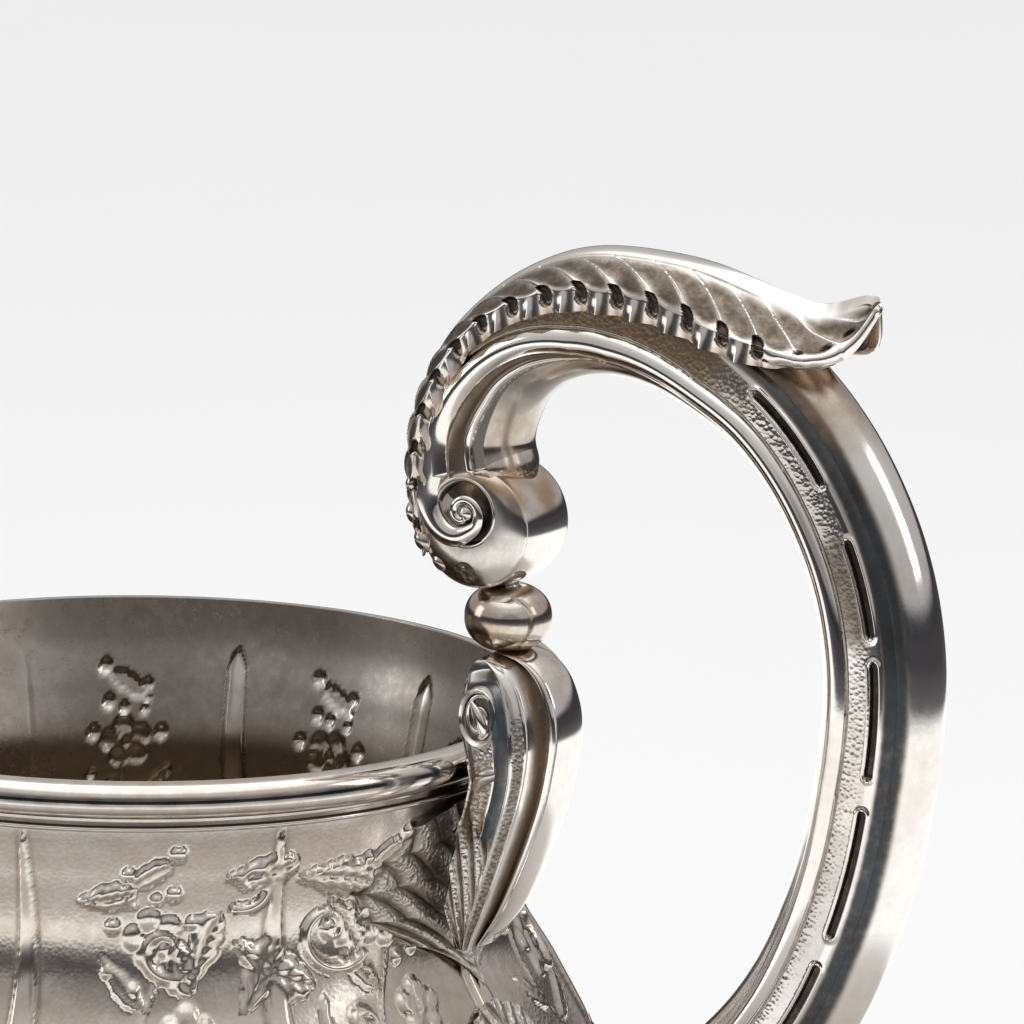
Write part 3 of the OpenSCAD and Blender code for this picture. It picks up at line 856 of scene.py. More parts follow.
def side_relief(a, ring, run):
    """How far the handle's side lies below its full width, at distance a from the edge."""
    def at(values):
        return np.interp(ring, STATIONS, values)

    def between(low, high):
        return bump(a, (low + high) / 2, (high - low) / 2)

    roll_low, roll_high, band_low, band_high = (
        at(values) for values in (ROLL_LOW, ROLL_HIGH, BAND_LOW, BAND_HIGH))
    right = smooth(6, 10, ring)
    cove = (a >= roll_high) & (a < band_low)
    deep = between(roll_high, band_low)
    depth = np.where(cove, 1.1 + np.clip(band_low - roll_high, 0, 3) * 0.28 * deep, 1.15)
    roll = (a >= roll_low) & (a < roll_high)
    raised = 0.15 + 0.85 * smooth(5.4, 3.0, ring)
    depth = np.where(roll, 1.15 - raised * between(roll_low, roll_high), depth)
    pillow = (1 - np.clip((a - 5.6) / 3.2, -1, 1) ** 2) * right
    depth = np.where(a >= band_low, 1.05 - 0.5 * pillow, depth)
    band = (a >= band_low) & (a < band_high)
    depth = np.where(band, 1.05 - 0.95 * between(band_low, band_high) ** 2, depth)
    depth = depth + 1.3 * right * np.clip((a - 8.3) / 2.2, 0, 1) ** 1.7
    panel = smooth(0.0, 0.8, a - band_high) * smooth(10.3 - 2.6 * right, 9.9 - 2.6 * right, a)
    stained = smooth(10.9, 11.3, ring) * smooth(12.9, 12.5, ring)
    hollow = 0.30 * panel * (1 - 0.8 * right) + 0.5 * panel * stained
    hollow = np.maximum(hollow, 0.95 * right * smooth(8.5, 9.4, a))
    hollow = np.maximum(hollow, np.where(cove, 0.25 + 0.65 * deep, 0.0))
    hollow = np.maximum(hollow, 0.45 * (a < roll_low))
    seam = bump(a, band_high + 0.25, 0.35)
    depth = depth + 0.2 * seam
    hollow = np.maximum(hollow, 0.5 * seam)
    # Painted shade on the side's panel where the leaf lies over it
    painted_shade_under_leaf = panel * smooth(9.5, 7.5, ring)
    hollow = np.maximum(hollow, 0.72 * painted_shade_under_leaf)
    edge_groove = bump(a, 10.35, 0.35) * (1 - right)
    depth = depth + 0.25 * edge_groove
    hollow = np.maximum(hollow, 0.6 * edge_groove)
    stipple = panel + 0 * depth
    for first_ring, last_ring in SLOTS:
        low, high = handle.run_at(first_ring), handle.run_at(last_ring)
        over = np.maximum(np.maximum(low - run, run - high), 0)
        distance = np.hypot(over, a - SLOT_MIDDLE)
        slot = smooth(0.66, 0.44, distance)
        rim = np.exp(-((distance - 0.92) / 0.22) ** 2)
        depth = depth + 0.85 * slot - 0.22 * rim
        hollow = np.maximum(hollow, 0.95 * slot) * (1 - 0.7 * rim)
        stipple = stipple * (1 - slot) * (1 - 0.8 * rim)
    return depth, hollow, stipple


# How far the handle's ends reach into the knops
TUCK = 1.7


def make_handle_half(name, side):
    """One half of the handle: its inner face, its side and its rounded back."""
    length = handle.run[-1]
    run = np.linspace(-TUCK, length + TUCK, 640)
    line, out, ring = handle.at_run(np.clip(run, 0, length))
    first, last = directions(handle.line)[[0, -1]]
    line = line + np.minimum(run, 0)[:, None] * first + np.maximum(run - length, 0)[:, None] * last
    into_knop = np.maximum(-run, run - length)[:, None]
    run, ring = run[:, None], ring[:, None]
    lower = smooth(6, 10, ring)

    t = np.linspace(0, 1, 16)[None, :]
    inner_a = -INNER_CROWN * (1 - t ** 2) * (1 - 0.25 * smooth(0.0, TUCK, into_knop))
    inner_y = (HALF_WIDTH - 1.1) * t
    side_a = SIDE_DEPTH * np.linspace(0.004, 1, 130)[None, :] + 0 * ring
    depth, hollow, stipple = side_relief(side_a, ring, run)
    depth = np.maximum(depth, 1.1 * smooth(0.22, 0, side_a) * smooth(6.5, 3.0, ring))
    turn = np.linspace(1, 0, 30)[None, :] * np.pi / 2
    outer_a = SIDE_DEPTH + (OUTER_CROWN - 1.4 * smooth(9.0, 7.2, ring)) * np.cos(turn) ** 1.35
    outer_y = (HALF_WIDTH - 0.95 - 1.35 * lower) * np.sin(turn) ** 1.15
    a = side_by_side(inner_a, side_a, outer_a)
    y = side_by_side(inner_y, HALF_WIDTH - depth, outer_y)
    y = y * (1 - 0.22 * smooth(0.0, TUCK, into_knop))

    by_leaf = smooth(7.5, 8.6, ring) * smooth(10.6, 9.4, ring)
    shoulder = smooth(0.84, 0.97, np.sin(turn)) * lower
    # The inner face darkens towards the upper knop as painted shade
    dark = side_by_side(0.30 * smooth(8, 3, ring) + 0 * t, hollow,
                        0.04 + 0.4 * by_leaf + 0.9 * shoulder)
    golden = side_by_side(0.35 * smooth(3.5, 1.5, ring) + 0 * t,
                          0.15 * stipple + 0.18 * (hollow > 0.5) * smooth(9.5, 7.5, ring),
                          0.45 * by_leaf + 0 * turn)
    matt = side_by_side(0 * t, stipple, 0 * turn)
    blue = side_by_side(0.3 * smooth(3, 1, ring) + 0 * t,
                        0.5 * lower * smooth(8.5, 9.4, side_a), 0.5 * shoulder)
    blue = blue + 0.25 * smooth(0.3, 0.9, 0.5 + 0.5 * np.sin(run / 9)) * matt
    hammered = 0.16 + 0.24 * smooth(12.8, 10.8, ring)
    shape = Shape()
    shape.rod(in_space(line[:, None] + a[..., None] * out[:, None], side * y),
              hollow=dark, stipple=hammered * matt, patina=blue, amber=golden)
    shape.make(name, POLISHED, "polished_silver")


# ---- the leaf on the handle ----

# Rows of the leaf, from its root to its tip: x and z of its crest in the middle plane, and
# x, y and z of its border
LEAF_ROWS = [
    (51.6, 219.5, 54.8, 7.4, 216.5), (50.2, 227.0, 54.2, 8.2, 226.0),
    (51.6, 236.0, 55.3, 8.6, 235.0), (55.6, 244.8, 59.1, 8.7, 243.6),
    (62.2, 252.2, 64.6, 8.7, 249.9), (70.5, 257.9, 72.0, 8.7, 254.2),
    (80.4, 261.2, 81.2, 8.7, 256.5), (93.7, 261.2, 93.2, 8.8, 255.9),
    (106.9, 259.1, 105.6, 9.1, 252.7), (115.5, 257.1, 116.4, 9.4, 250.8),
    (119.3, 257.4, 119.8, 8.4, 250.8), (122.0, 258.3, 122.0, 6.9, 251.4),
    (124.0, 258.9, 123.8, 4.9, 252.9), (125.3, 258.9, 125.0, 2.6, 255.2),
    (126.0, 258.5, 125.9, 0.3, 257.9)]
# Where the leaf starts to stand free of the handle, and where the last eye of its border is
LEAF_FREE = 95.0
LAST_EYE = 111.2
# Distance between two eyes, and how far a lobe sweeps back between border and crest
EYE_STEP = 5.95
SWEEP_BACK = 14.5


def leaf_relief(x, t, q, width, free):
    """Height of the leaf's top above its sheet, and its layers. x is the distance along the
    border, t runs from the crest to 1 at the border, and q is the distance below the border."""
    phase = np.mod((x + SWEEP_BACK * np.clip(1 - t, 0, 1) ** 1.6) / EYE_STEP, 1.0)
    side = np.abs(2 * phase - 1)
    bowl = (1 - side ** 2.6) * smooth(0.20, 0.42, t) * smooth(1.0, 0.84, t + 0.14 * side ** 2)
    line = smooth(0.84, 1.0, side) * smooth(0.20, 0.42, t)
    fold = 1 - np.abs(phase - 0.5) / 0.5
    flare = np.clip(q / width, 0, 1) * (1 - free)
    from_eye = np.minimum(phase, 1 - phase) * EYE_STEP
    above = 9 * np.clip(0.97 - t, 0, 1)
    eye = smooth(1.0, 0.7, np.hypot(from_eye / 1.05, (q - 0.2 + above) / 2.0))
    eye = eye * (1 - free) * (t > 0.8)
    around = smooth(1.6, 1.0, np.hypot(from_eye / 0.95, (q + above) / 1.75)) * (1 - free)
    height = 0.16 * line - 0.42 * bowl + flare * (1.75 * fold - 0.75) - 0.72 * eye
    hollow = 0.74 * bowl ** 0.5 + 2.2 * eye + 0.45 * flare * smooth(0.6, 1.0, side)
    hollow = hollow * (1 - 0.5 * np.clip(around - eye, 0, 1) * (t > 0.9))
    return (height, np.clip(hollow, 0, 1), np.clip(bowl * 2, 0, 1) * (1 - line),
            0.6 * flare * (1 - eye))


def make_leaf():
    """The leaf over the top of the handle: a sheet that turns down at its border, and stands
    free at its tip."""
    rows = 460
    table = even(spline(LEAF_ROWS, 20), rows)
    crest, border = table[:, :2], table[:, 2:]
    edge = border[:, [0, 2]]
    border_y = border[:, 1:2]
    run = run_of(edge)
    x = (run - run[np.argmax(edge[:, 0] > LAST_EYE)])[:, None]
    run = run[:, None]
    crest_x = crest[:, :1]
    free = smooth(LEAF_FREE + 16, LEAF_FREE + 21, crest_x)
    open_tip = smooth(LEAF_FREE, LEAF_FREE + 20, crest_x)

    inner = np.linspace(0, 1, 90)[None, :]
    reach = np.sin(inner * np.pi / 2) * (1 - open_tip) + inner * open_tip
    drop = ((1 - np.cos(inner * np.pi / 2)) * (1 - open_tip)
            + (inner ** 1.05 + 0.10 * np.sin(np.pi * inner)) * open_tip)
    plane = crest[:, None] + drop[..., None] * (edge - crest)[:, None]
    below = np.linspace(0, 1, 26)[1:][None, :]
    down = unit(edge - crest)
    width = (3.1 * (1 - free) + 1.9 * free) * (0.25 + 0.75 * smooth(126.4, 123.0, crest_x))
    tilt = unit(np.stack([0.25 * down[:, 0] - 0.05, down[:, 1]], -1))
    skirt = edge[:, None] + (below * width)[..., None] * tilt[:, None]
    skirt_y = border_y * (1 - 0.02 * below) - 1.1 * free * below ** 2
    grid = in_space(side_by_side(plane, skirt), side_by_side(border_y * reach, skirt_y))
    t = side_by_side(inner, 1 + 0 * below + 0 * x)
    q = side_by_side(0 * inner, below * width)

    height, hollow, bowl, golden = leaf_relief(x, t, q, width, free)
    rib = np.clip(1 - (t * 9.0 / 2.1) ** 2, 0, 1) ** 0.5 * (q <= 0)
    rib = rib * smooth(8, 34, run) * smooth(113.5, 100, crest_x)
    holes = np.zeros_like(height)
    for at_x, at_t in ((117.6, 0.90), (120.9, 0.80), (123.0, 0.62)):
        distance = np.hypot(edge[:, :1] - at_x, (t - at_t) * 9.5)
        holes = np.maximum(holes, smooth(0.75, 0.45, distance) * (q <= 0))
    height = (height * smooth(-4, 10, run) * (1 - 0.25 * free) + 0.8 * rib
              - 0.35 * smooth(40, 10, run) * (q > 0) + 0.5 * bump(q, 0.9, 0.95) * free
              - 0.6 * holes)
    hollow = np.maximum(hollow * (1 - rib), holes)

    normal = unit(np.cross(np.gradient(grid, axis=0), np.gradient(grid, axis=1)) + 1e-9)
    normal = normal * np.sign(normal[rows // 2, 60, 2])
    top = grid + normal * height[..., None]
    thick = 0.9 + 0.7 * open_tip * np.cos(t * np.pi / 2).clip(0)
    under = grid - normal * thick[..., None]
    under[:, -1] = 0.5 * (under[:, -1] + top[:, -1])
    mirror = np.array([1, -1, 1])

    def layer(value, beneath):
        """A number for each point of both halves of the top, and one for all beneath it."""
        return side_by_side(value[:, ::-1], value[:, 1:],
                            np.full((1, 2 * value.shape[1] - 1), float(beneath)))

    shape = Shape()
    shape.rod(side_by_side(top[:, ::-1] * mirror, top[:, 1:], under[:, :0:-1], under * mirror),
              hollow=layer(hollow, 0.35), stipple=layer(0.16 * bowl, 0),
              amber=layer(golden, 0.6))
    shape.make("thumb_leaf", LEAF, "polished_silver")


# ---- knops, bead and scrolls ----

def add_roll(shape, centre, profile, **layers):
    """A round body about an axis along Y. profile lists side distance and radius."""
    turn = round_turn(160)[:, None]
    radius = profile[None, :, 1]
    plane = np.stack([centre[0] + radius * np.cos(turn), centre[1] + radius * np.sin(turn)], -1)
    grid = in_space(plane, profile[None, :, 0])
    shape.grid(grid, around=True, **layers)
    shape.cap(grid[:, 0])
    shape.cap(grid[:, -1])


# The outside of a knop's curl, as distances out from the handle's edge and ahead of its end
CURL = [(15.0, -0.5), (15.9, 3.0), (16.1, 7.0), (15.2, 10.5), (13.2, 13.7), (10.6, 16.0),
        (7.8, 17.3), (5.0, 17.8)]
# The volute's spiral: turn in degrees, distance from its middle, and half of its width
SPIRAL = [(110, 10.6, 1.9), (128, 7.8, 2.0), (180, 5.75, 2.0), (225, 4.3, 1.7), (270, 3.0, 1.25),
          (315, 2.75, 0.95), (360, 2.6, 0.8), (450, 2.1, 0.65), (540, 1.45, 0.6), (630, 0.8, 0.55)]
# The throat between the handle's end and the roll: distance ahead of the end, how far its inner
# face lies in from the handle's edge, and half of its width
THROAT = [(-2.2, 3.1, 7.1), (0.0, 3.4, 7.4), (1.0, 3.4, 7.1), (1.8, 3.3, 6.6), (2.6, 3.2, 6.0),
          (3.6, 3.2, 5.1), (5.0, 3.0, 4.0), (6.0, 2.8, 3.0)]


class Knop:
    """Places round the scroll roll at an end of the handle. away is -1 above and 1 below."""

    def __init__(self, away):
        index = 0 if away < 0 else -1
        self.root, self.out = handle.line[index], handle.out[index]
        self.ahead = away * directions(handle.line)[index]
        self.roll = self.at(4.5, 8.7)
        self.eye = self.at(5.0, 6.3)

    def at(self, out, ahead):
        return self.root + np.multiply.outer(out, self.out) + np.multiply.outer(ahead, self.ahead)

    def about(self, centre, turn, rho):
        """A point at a turn from the side away from the curl, towards the handle."""
        return (centre - np.multiply.outer(rho * np.cos(turn), self.out)
                - np.multiply.outer(rho * np.sin(turn), self.ahead))


def add_knop_body(shape, knop):
    """The roll itself: a broad band, and on each side a flank round a sunk eye."""
    turn = round_turn(200)
    face = np.linspace(-6.3, 6.3, 31)
    crown = KNOP_RADIUS - 0.75 + 0.9 * np.sqrt(1 - (face / 6.6) ** 2)
    rows = [in_space(knop.about(knop.roll, turn, r), y) for y, r in zip(face, crown)]
    for side in (-1, 1):
        flank = []
        for t in np.linspace(0, 1, 22)[1:]:
            middle = knop.roll * (1 - t) + knop.eye * t
            radius = 8.95 * (1 - t) + 5.0 * t
            flank.append(in_space(knop.about(middle, turn, radius),
                                  side * (6.35 + 1.2 * t + 0.35 * math.sin(math.pi * t))))
        for radius, y in ((4.7, 7.3), (4.5, 6.2), (0.01, 6.2)):
            flank.append(in_space(knop.about(knop.eye, turn, radius), side * y))
        rows = rows + flank if side > 0 else flank[::-1] + rows
    dark = np.concatenate([[0.95, 0.95, 0.7], np.linspace(0.30, 0.18, 21), 0.05 + 0 * face])
    dark = np.concatenate([dark, dark[:24][::-1]])
    across = np.linspace(-1, 1, len(rows))[:, None]
    crease = np.exp(-((turn[None, :] - 0.35 - 0.75 * np.abs(across)) / 0.42) ** 2)
    patches = 0.6 + 0.4 * np.sin(5 * turn)[None, :] * np.cos(0.3 * np.arange(len(rows)))[:, None]
    shape.grid(np.array(rows), across=True, hollow=dark[:, None] + 0.5 * crease * patches,
               amber=1.3 * crease * patches)


def add_throat(shape, knop):
    """The short throat that takes the handle's inner face on to the roll."""
    ahead, inset, half = even(spline(THROAT, 8), 40).T[..., None]
    around = round_turn(120)[None, :]
    front, sine = np.cos(around), np.sin(around)
    behind = 7.5 * smooth(-0.4, 0.6, ahead)
    out = behind * np.clip(-front, 0, 1) ** 0.6 - inset * np.clip(front, 0, 1) ** 2
    y = half * np.sign(sine) * np.abs(sine) ** np.where(front > 0, 1.0, 0.25)
    solder = smooth(-0.8, 2.6, ahead)
    shape.rod(in_space(knop.at(out, ahead + 0 * out), y), hollow=0.12 + 0.4 * solder,
              stipple=0.4 * solder, amber=0.3 + 0.7 * solder)


def add_volute(shape, knop, side):
    """The spiral on one side of a knop, its button, and the fine wire round them."""
    spiral = even(spline(SPIRAL, 12), 240)
    place = knop.about(knop.eye, np.radians(spiral[:, 0]), spiral[:, 1])
    flat = 0.62
    tube(shape, in_space(place, side * (8.4 - flat * spiral[:, 2])), spiral[:, 2], 24, flat=flat,
         hollow=0.02)
    button = np.array([(6.2, 1.5), (7.2, 1.4), (7.7, 0.9), (8.0, 0.01)])
    add_roll(shape, knop.eye, button * (side, 1), hollow=0.04)
    rim = even(spline([(-60, 5.0), (-10, 5.1), (60, 5.2), (125, 5.5), (150, 5.2)], 10), 90)
    line = in_space(knop.about(knop.eye, np.radians(rim[:, 0]), rim[:, 1]), side * 7.5)
    tube(shape, line, 0.26, 10, hollow=0.1)


def make_knop(away):
    """The scroll roll at an end of the handle, with a volute on each side."""
    knop = Knop(away)
    shape = Shape()
    add_knop_body(shape, knop)
    count = 80
    s = np.linspace(0, 1, count)
    outer = knop.at(*even(spline(CURL, 10), count).T)
    core = knop.at(np.interp(s, (0, 0.25, 1), (0.3, 3.5, 5.0)),
                   np.interp(s, (0, 0.25, 1), (0.0, 3.0, 8.5)))
    bend = np.linspace(-1, 1, 91)[None, :]
    reach = 1 - np.abs(bend) ** 2.6
    half = (5.9 + 1.4 * smooth(0.0, 0.4, s) - 1.7 * smooth(0.5, 1.0, s))[:, None]
    wide = half * np.sign(bend) * np.minimum(1, np.abs(bend) * 1.55) ** 0.75
    wide = wide * (1 - 0.2 * smooth(0.72, 1.0, np.abs(bend)))
    curl = in_space(core[:, None] + (outer - core)[:, None] * reach[..., None], wide)
    # The curl darkens towards its end as painted shade
    shape.grid(curl, hollow=0.3 + 0.4 * smooth(0.5, 1.0, s)[:, None])
    shape.grid(np.stack([curl[:, 0], curl[:, -1]]))
    shape.cap(curl[0])
    shape.cap(curl[-1])
    add_throat(shape, knop)
    for side in (-1, 1):
        add_volute(shape, knop, side)
        across = np.linspace(-0.5, 0.5, 22)
        swell = np.sin(np.linspace(0.1, 3.05, 22)) ** 0.7
        for middle, length, broad in ((0.08, 5.0, 1.3), (0.27, 5.5, 1.5), (0.47, 6.0, 1.7),
                                      (0.68, 6.5, 1.6)):
            row = np.clip(int(middle * (count - 1)) + across * length * 2.6, 0, count - 1)
            from_rim, from_hub = (
                np.stack([np.interp(row, np.arange(count), path[:, i]) for i in (0, 1)], -1)
                for path in (outer, core))
            path = from_rim + 1.8 * unit(from_hub - from_rim)
            line = in_space(path, side * (5.6 - 1.2 * middle + 0.9 * np.cos(np.pi * across)))
            tube(shape, line, 0.9 * broad * swell, 16, hollow=0.3)
        dome = np.linspace(0, np.pi / 2, 9)
        oval = np.stack([side * (6.4 + 1.1 * np.sin(dome)), 2.5 * np.cos(dome) + 0.01], -1)
        add_roll(shape, knop.at(6.6, 14.4), oval, hollow=0.55, stipple=1.0)
    return knop, shape


def make_upper_knop():
    make_knop(-1)[1].make("upper_knop", POLISHED, "polished_silver")


def make_lower_knop():
    """The lower roll, and the short round stem that carries it on the belly."""
    knop, shape = make_knop(1)
    x, z = knop.roll
    wall = vessel_radius(z) + 0.8
    stem = np.linspace(0, 1, 16)[:, None]
    turn = round_turn(60)[None, :]
    radius = 6.0 + 1.8 * (2 * stem - 1) ** 2
    shape.rod(np.stack([x + (wall - x) * stem + 0 * turn, radius * np.cos(turn),
                        z + radius * np.sin(turn)], -1), hollow=0.2)
    shape.make("lower_knop", POLISHED, "polished_silver")


def make_bead():
    middle = (BEAD_LOW + BEAD_HIGH) / 2
    radius, _, half_height = (BEAD_HIGH - BEAD_LOW) / 2
    t = np.linspace(-1, 1, 61)[None, :]
    turn = round_turn(128)[:, None]
    reach = np.sqrt(1 - np.abs(t * 0.94) ** 2.3) * radius
    grid = np.stack([middle[0] + reach * np.cos(turn), reach * np.sin(turn),
                     middle[2] + t * half_height + 0 * turn], -1)
    deposit = 0.5 + 0.5 * np.sin(3 * turn + 2.5 * t)
    shape = Shape()
    shape.grid(grid, around=True, amber=0.2 + 0.5 * deposit,
               hollow=0.75 * smooth(0.72, 1.0, np.abs(t)) + 0.12 + 0.12 * deposit)
    shape.cap(grid[:, 0])
    shape.cap(grid[:, -1])
    shape.make("handle_bead", POLISHED, "polished_silver")


# The bracket's outline in the middle plane, from the bead down: its bulging face, and its back
SCROLL_FACE = [(67.5, 199.8), (70.5, 199.5), (73, 198.6), (75.6, 196), (77.3, 192), (77.9, 188),
               (77.6, 184), (76.2, 177), (73, 168), (69, 159.5), (64.5, 153.2)]
SCROLL_BACK = [(66.5, 199.8), (65.2, 198.6), (64.0, 196), (63.6, 192), (63.8, 187.5), (64.6, 184),
               (65.2, 180), (63.2, 172), (61.4, 164), (61.0, 158), (62.5, 153.2)]


def scroll_side(t, w, taper):
    """The bracket's side: how far out it stands, and its layers. t runs down the bracket, and
    w from its face to its back."""
    below_head = smooth(0.20, 0.30, t)
    groove = bump(w, 0.105, 0.075)
    first, second = bump(w, 0.20, 0.022), bump(w, 0.335, 0.025)
    strip = smooth(0.215, 0.235, w) * smooth(0.325, 0.305, w) * below_head
    rib = bump(w, 0.46, 0.125) * smooth(0.12, 0.22, t) * smooth(0.66, 0.56, t)
    mat = (smooth(0.60, 0.63, w) * smooth(0.98, 0.9, w) * smooth(0.30, 0.36, t)
           * smooth(0.66, 0.58, t))
    field = bump(w, 0.66, 0.30) * smooth(0.06, 0.12, t) * smooth(0.30, 0.24, t)
    leaf = smooth(0.56, 0.66, t + 0.10 * w) * smooth(0.36, 0.42, w)
    strands = 0.5 + 0.5 * np.cos(2 * np.pi * (4.2 * w + 7.0 * t))
    y = 4.6 * taper + 4.6 * taper * smooth(0.0, 0.34, w)
    y = y - 1.0 * groove + 0.4 * first + 0.45 * second * below_head + 0.85 * rib - 0.35 * field
    y = y + leaf * (0.8 * strands ** 1.5 - 0.3)
    y = y * (0.8 + 0.2 * smooth(0, 0.04, 1 - w)) * smooth(-0.02, 0.05, t + 0.02)
    y = y + 0.35 * bump(w, 0.955, 0.035) * smooth(0.08, 0.12, t) * smooth(0.62, 0.5, t)
    hollow = (0.95 * groove + 0.3 * strip + 0.35 * field + 0.15 * mat + 0.82 * rib
              + 0.7 * leaf * (1 - strands) ** 2
              + 0.5 * bump(w, 0.90, 0.03) * smooth(0.62, 0.5, t))
    return (y, hollow, np.clip(strip + mat + leaf * strands * 0.9, 0, 1),
            np.clip(0.8 * rib + 0.6 * field, 0, 1), 0.3 * groove + 0.3 * mat)


# Middle of the oval on the bracket's side, and how wide and tall it is beside its radius
OVAL = np.array([66.9, 190.7])
OVAL_SHAPE = np.array([0.95, 1.32])


def on_oval(turn, radius):
    return OVAL + np.stack([radius * np.cos(turn), radius * np.sin(turn)], -1) * OVAL_SHAPE


def add_scroll_details(shape, side):
    """The raised oval with its spiral, the curl in it, and the bud below."""
    rows = [in_space(on_oval(round_turn(120), radius), side * y) for radius, y in (
        (3.6, 5.0), (3.6, 9.1), (3.3, 9.6), (2.9, 9.2), (2.7, 8.7), (0.01, 8.7))]
    shape.grid(np.array(rows), across=True,
               hollow=np.array([0.1, 0.1, 0.0, 0.3, 0.7, 0.75])[:, None])
    wound = np.linspace(0, 2 * np.pi * 1.15, 120)
    spiral = on_oval(wound + 0.9, 2.75 * np.exp(-0.13 * wound))
    tube(shape, in_space(spiral, side * 8.95), np.linspace(0.34, 0.28, 120), 12, hollow=0.05)
    curl = even(spline([(65.6, 192.9), (66.4, 191.8), (67.2, 190.2), (67.7, 188.6),
                        (67.2, 187.6)], 8), 30)
    tube(shape, in_space(curl, side * 9.1),
         0.25 + 0.75 * np.sin(np.linspace(0.2, 2.9, 30)) ** 1.2, 14, flat=0.8)
    bud = even(spline([(66.5, 179.5), (68.0, 181.6), (70.2, 182.6)], 8), 24)
    tube(shape, in_space(bud, side * 9.2), 0.3 + 0.9 * np.sin(np.linspace(0.1, 2.6, 24)), 14,
         flat=0.7, hollow=0.35)


def make_rim_scroll():
    """The bracket between bead and rim: a bulging face with a chased side on each hand."""
    rows = 300
    face, back = (even(spline(line, 12), rows) for line in (SCROLL_FACE, SCROLL_BACK))
    t = np.linspace(0, 1, rows)[:, None]
    w = np.linspace(0, 1, 150)[None, :]
    width = np.linalg.norm(face - back, axis=1)[:, None]
    out = unit(face - back)
    taper = 0.62 + 0.38 * np.sin(np.pi * np.clip(t * 0.86 + 0.14, 0, 1)) ** 0.5
    turn = np.linspace(0, 1, 18)[None, :] * np.pi / 2
    crown_y = 4.6 * taper * np.sin(turn)
    crown_a = 1.2 * taper * (1 - np.cos(turn)) - 0.2
    side_y, hollow, stipple, blue, golden = scroll_side(t, w, taper)
    a = side_by_side(crown_a, crown_a[:, -1:] + w * (width - crown_a[:, -1:]))
    y = side_by_side(crown_y, side_y)
    plain = 0 * crown_y
    middle_plane = np.array([1, 0, 1])
    shape = Shape()
    for side in (-1, 1):
        grid = in_space(face[:, None] - a[..., None] * out[:, None], side * y)
        shape.grid(grid, hollow=side_by_side(plain + 0.03, hollow),
                   stipple=side_by_side(plain, stipple), patina=side_by_side(plain, blue),
                   amber=side_by_side(0.5 * smooth(0.30, 0.05, t) + plain, golden))
        for edge in (grid[:, -1], grid[:, 0], grid[0], grid[-1]):
            shape.grid(np.stack([edge, edge * middle_plane]))
        add_scroll_details(shape, side)
    shape.make("rim_scroll", POLISHED, "polished_silver")


# ---- leaf plates on the vessel ----

def make_plate(name, half_width, veins, lift):
    """A chased leaf plate that lies on the wall, pointing down from the handle."""
    low, high = (corner[2] for corner in node_box(name))
    t = np.linspace(0, 1, 200)[:, None]
    v = np.linspace(-1, 1, 261)[None, :]
    off = np.abs(v)
    spread = (0.35 + 0.65 * np.sin(np.pi * np.clip(t * 0.8 + 0.12, 0, 1))) * (1 - t ** 6)
    scallop = 1 - 0.10 * np.abs(np.sin(5 * np.pi * t)) ** 0.5
    x = v * half_width * spread * scallop
    z = high + (low + 1 - high) * t
    z = z - 3.5 * off ** 1.5 * (1 - t) + 5.0 * (off ** 1.6) * t
    angle = x / vessel_radius(z)
    wave = np.abs(2 * np.mod(veins * (t + 0.55 * off), 1) - 1)
    edge = smooth(1.0, 0.9, off)
    rib = np.exp(-(x / 0.9) ** 2)
    height = lift * (0.35 + 0.65 * edge) + 0.55 * (wave ** 0.6 - 0.5) * edge + 0.5 * rib
    hollow = 0.7 * (1 - wave) ** 2 + 0.4 * (1 - edge)
    dots = np.clip(wave * 1.2, 0, 1) * edge
    shape = Shape()
    shape.rod(side_by_side(wall_points(angle, z, height), wall_points(angle, z, 0.1)[:, ::-1]),
              hollow=side_by_side(hollow, 0.5 + 0 * hollow),
              stipple=side_by_side(dots, 0 * dots))
    shape.make(name, LEAF, "toned_silver")


def make_dowels():
    """The two hidden dowels keep their CAD shape and get the plain silver."""
    for node in ("upper_dowel", "lower_dowel"):
        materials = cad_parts[node].data.materials
        materials.clear()
        materials.append(POLISHED)


# ---- the scene round the pitcher ----

# The camera stands at a distance from the middle of the mouth, some degrees above the rim, and
# is turned about the pitcher's axis from the view along +Y
CAMERA_LENS = 175.8
CAMERA_DISTANCE = 789.2
CAMERA_HEIGHT_ANGLE = math.radians(13.63)
CAMERA_SIDE = math.radians(34.0)
CAMERA_YAW, CAMERA_PITCH, CAMERA_ROLL = (math.radians(v) for v in (4.33, 11.62, 1.31))


def make_camera():
    """A long lens near the handle's side, aimed to the right of the mouth."""
    turn = Matrix.Rotation(CAMERA_SIDE, 3, "Z")
    place = turn @ Vector((0, -CAMERA_DISTANCE * math.cos(CAMERA_HEIGHT_ANGLE), 0))
    place.z = RIM_Z + CAMERA_DISTANCE * math.sin(CAMERA_HEIGHT_ANGLE)
    ahead = turn @ Vector((math.sin(CAMERA_YAW) * math.cos(CAMERA_PITCH),
                           math.cos(CAMERA_YAW) * math.cos(CAMERA_PITCH),
                           -math.sin(CAMERA_PITCH)))
    right = ahead.cross(Vector((0, 0, 1))).normalized()
    up = right.cross(ahead)
    tilted_right = right * math.cos(CAMERA_ROLL) + up * math.sin(CAMERA_ROLL)
    tilted_up = up * math.cos(CAMERA_ROLL) - right * math.sin(CAMERA_ROLL)
    data = bpy.data.cameras.new("camera")
    data.lens = CAMERA_LENS
    data.clip_start, data.clip_end = 0.05, 40
    camera = bpy.data.objects.new("camera", data)
    bpy.context.collection.objects.link(camera)
    matrix = Matrix((tilted_right, tilted_up, -ahead)).transposed().to_4x4()
    matrix.translation = place * MM
    camera.matrix_world = matrix
    bpy.context.scene.camera = camera


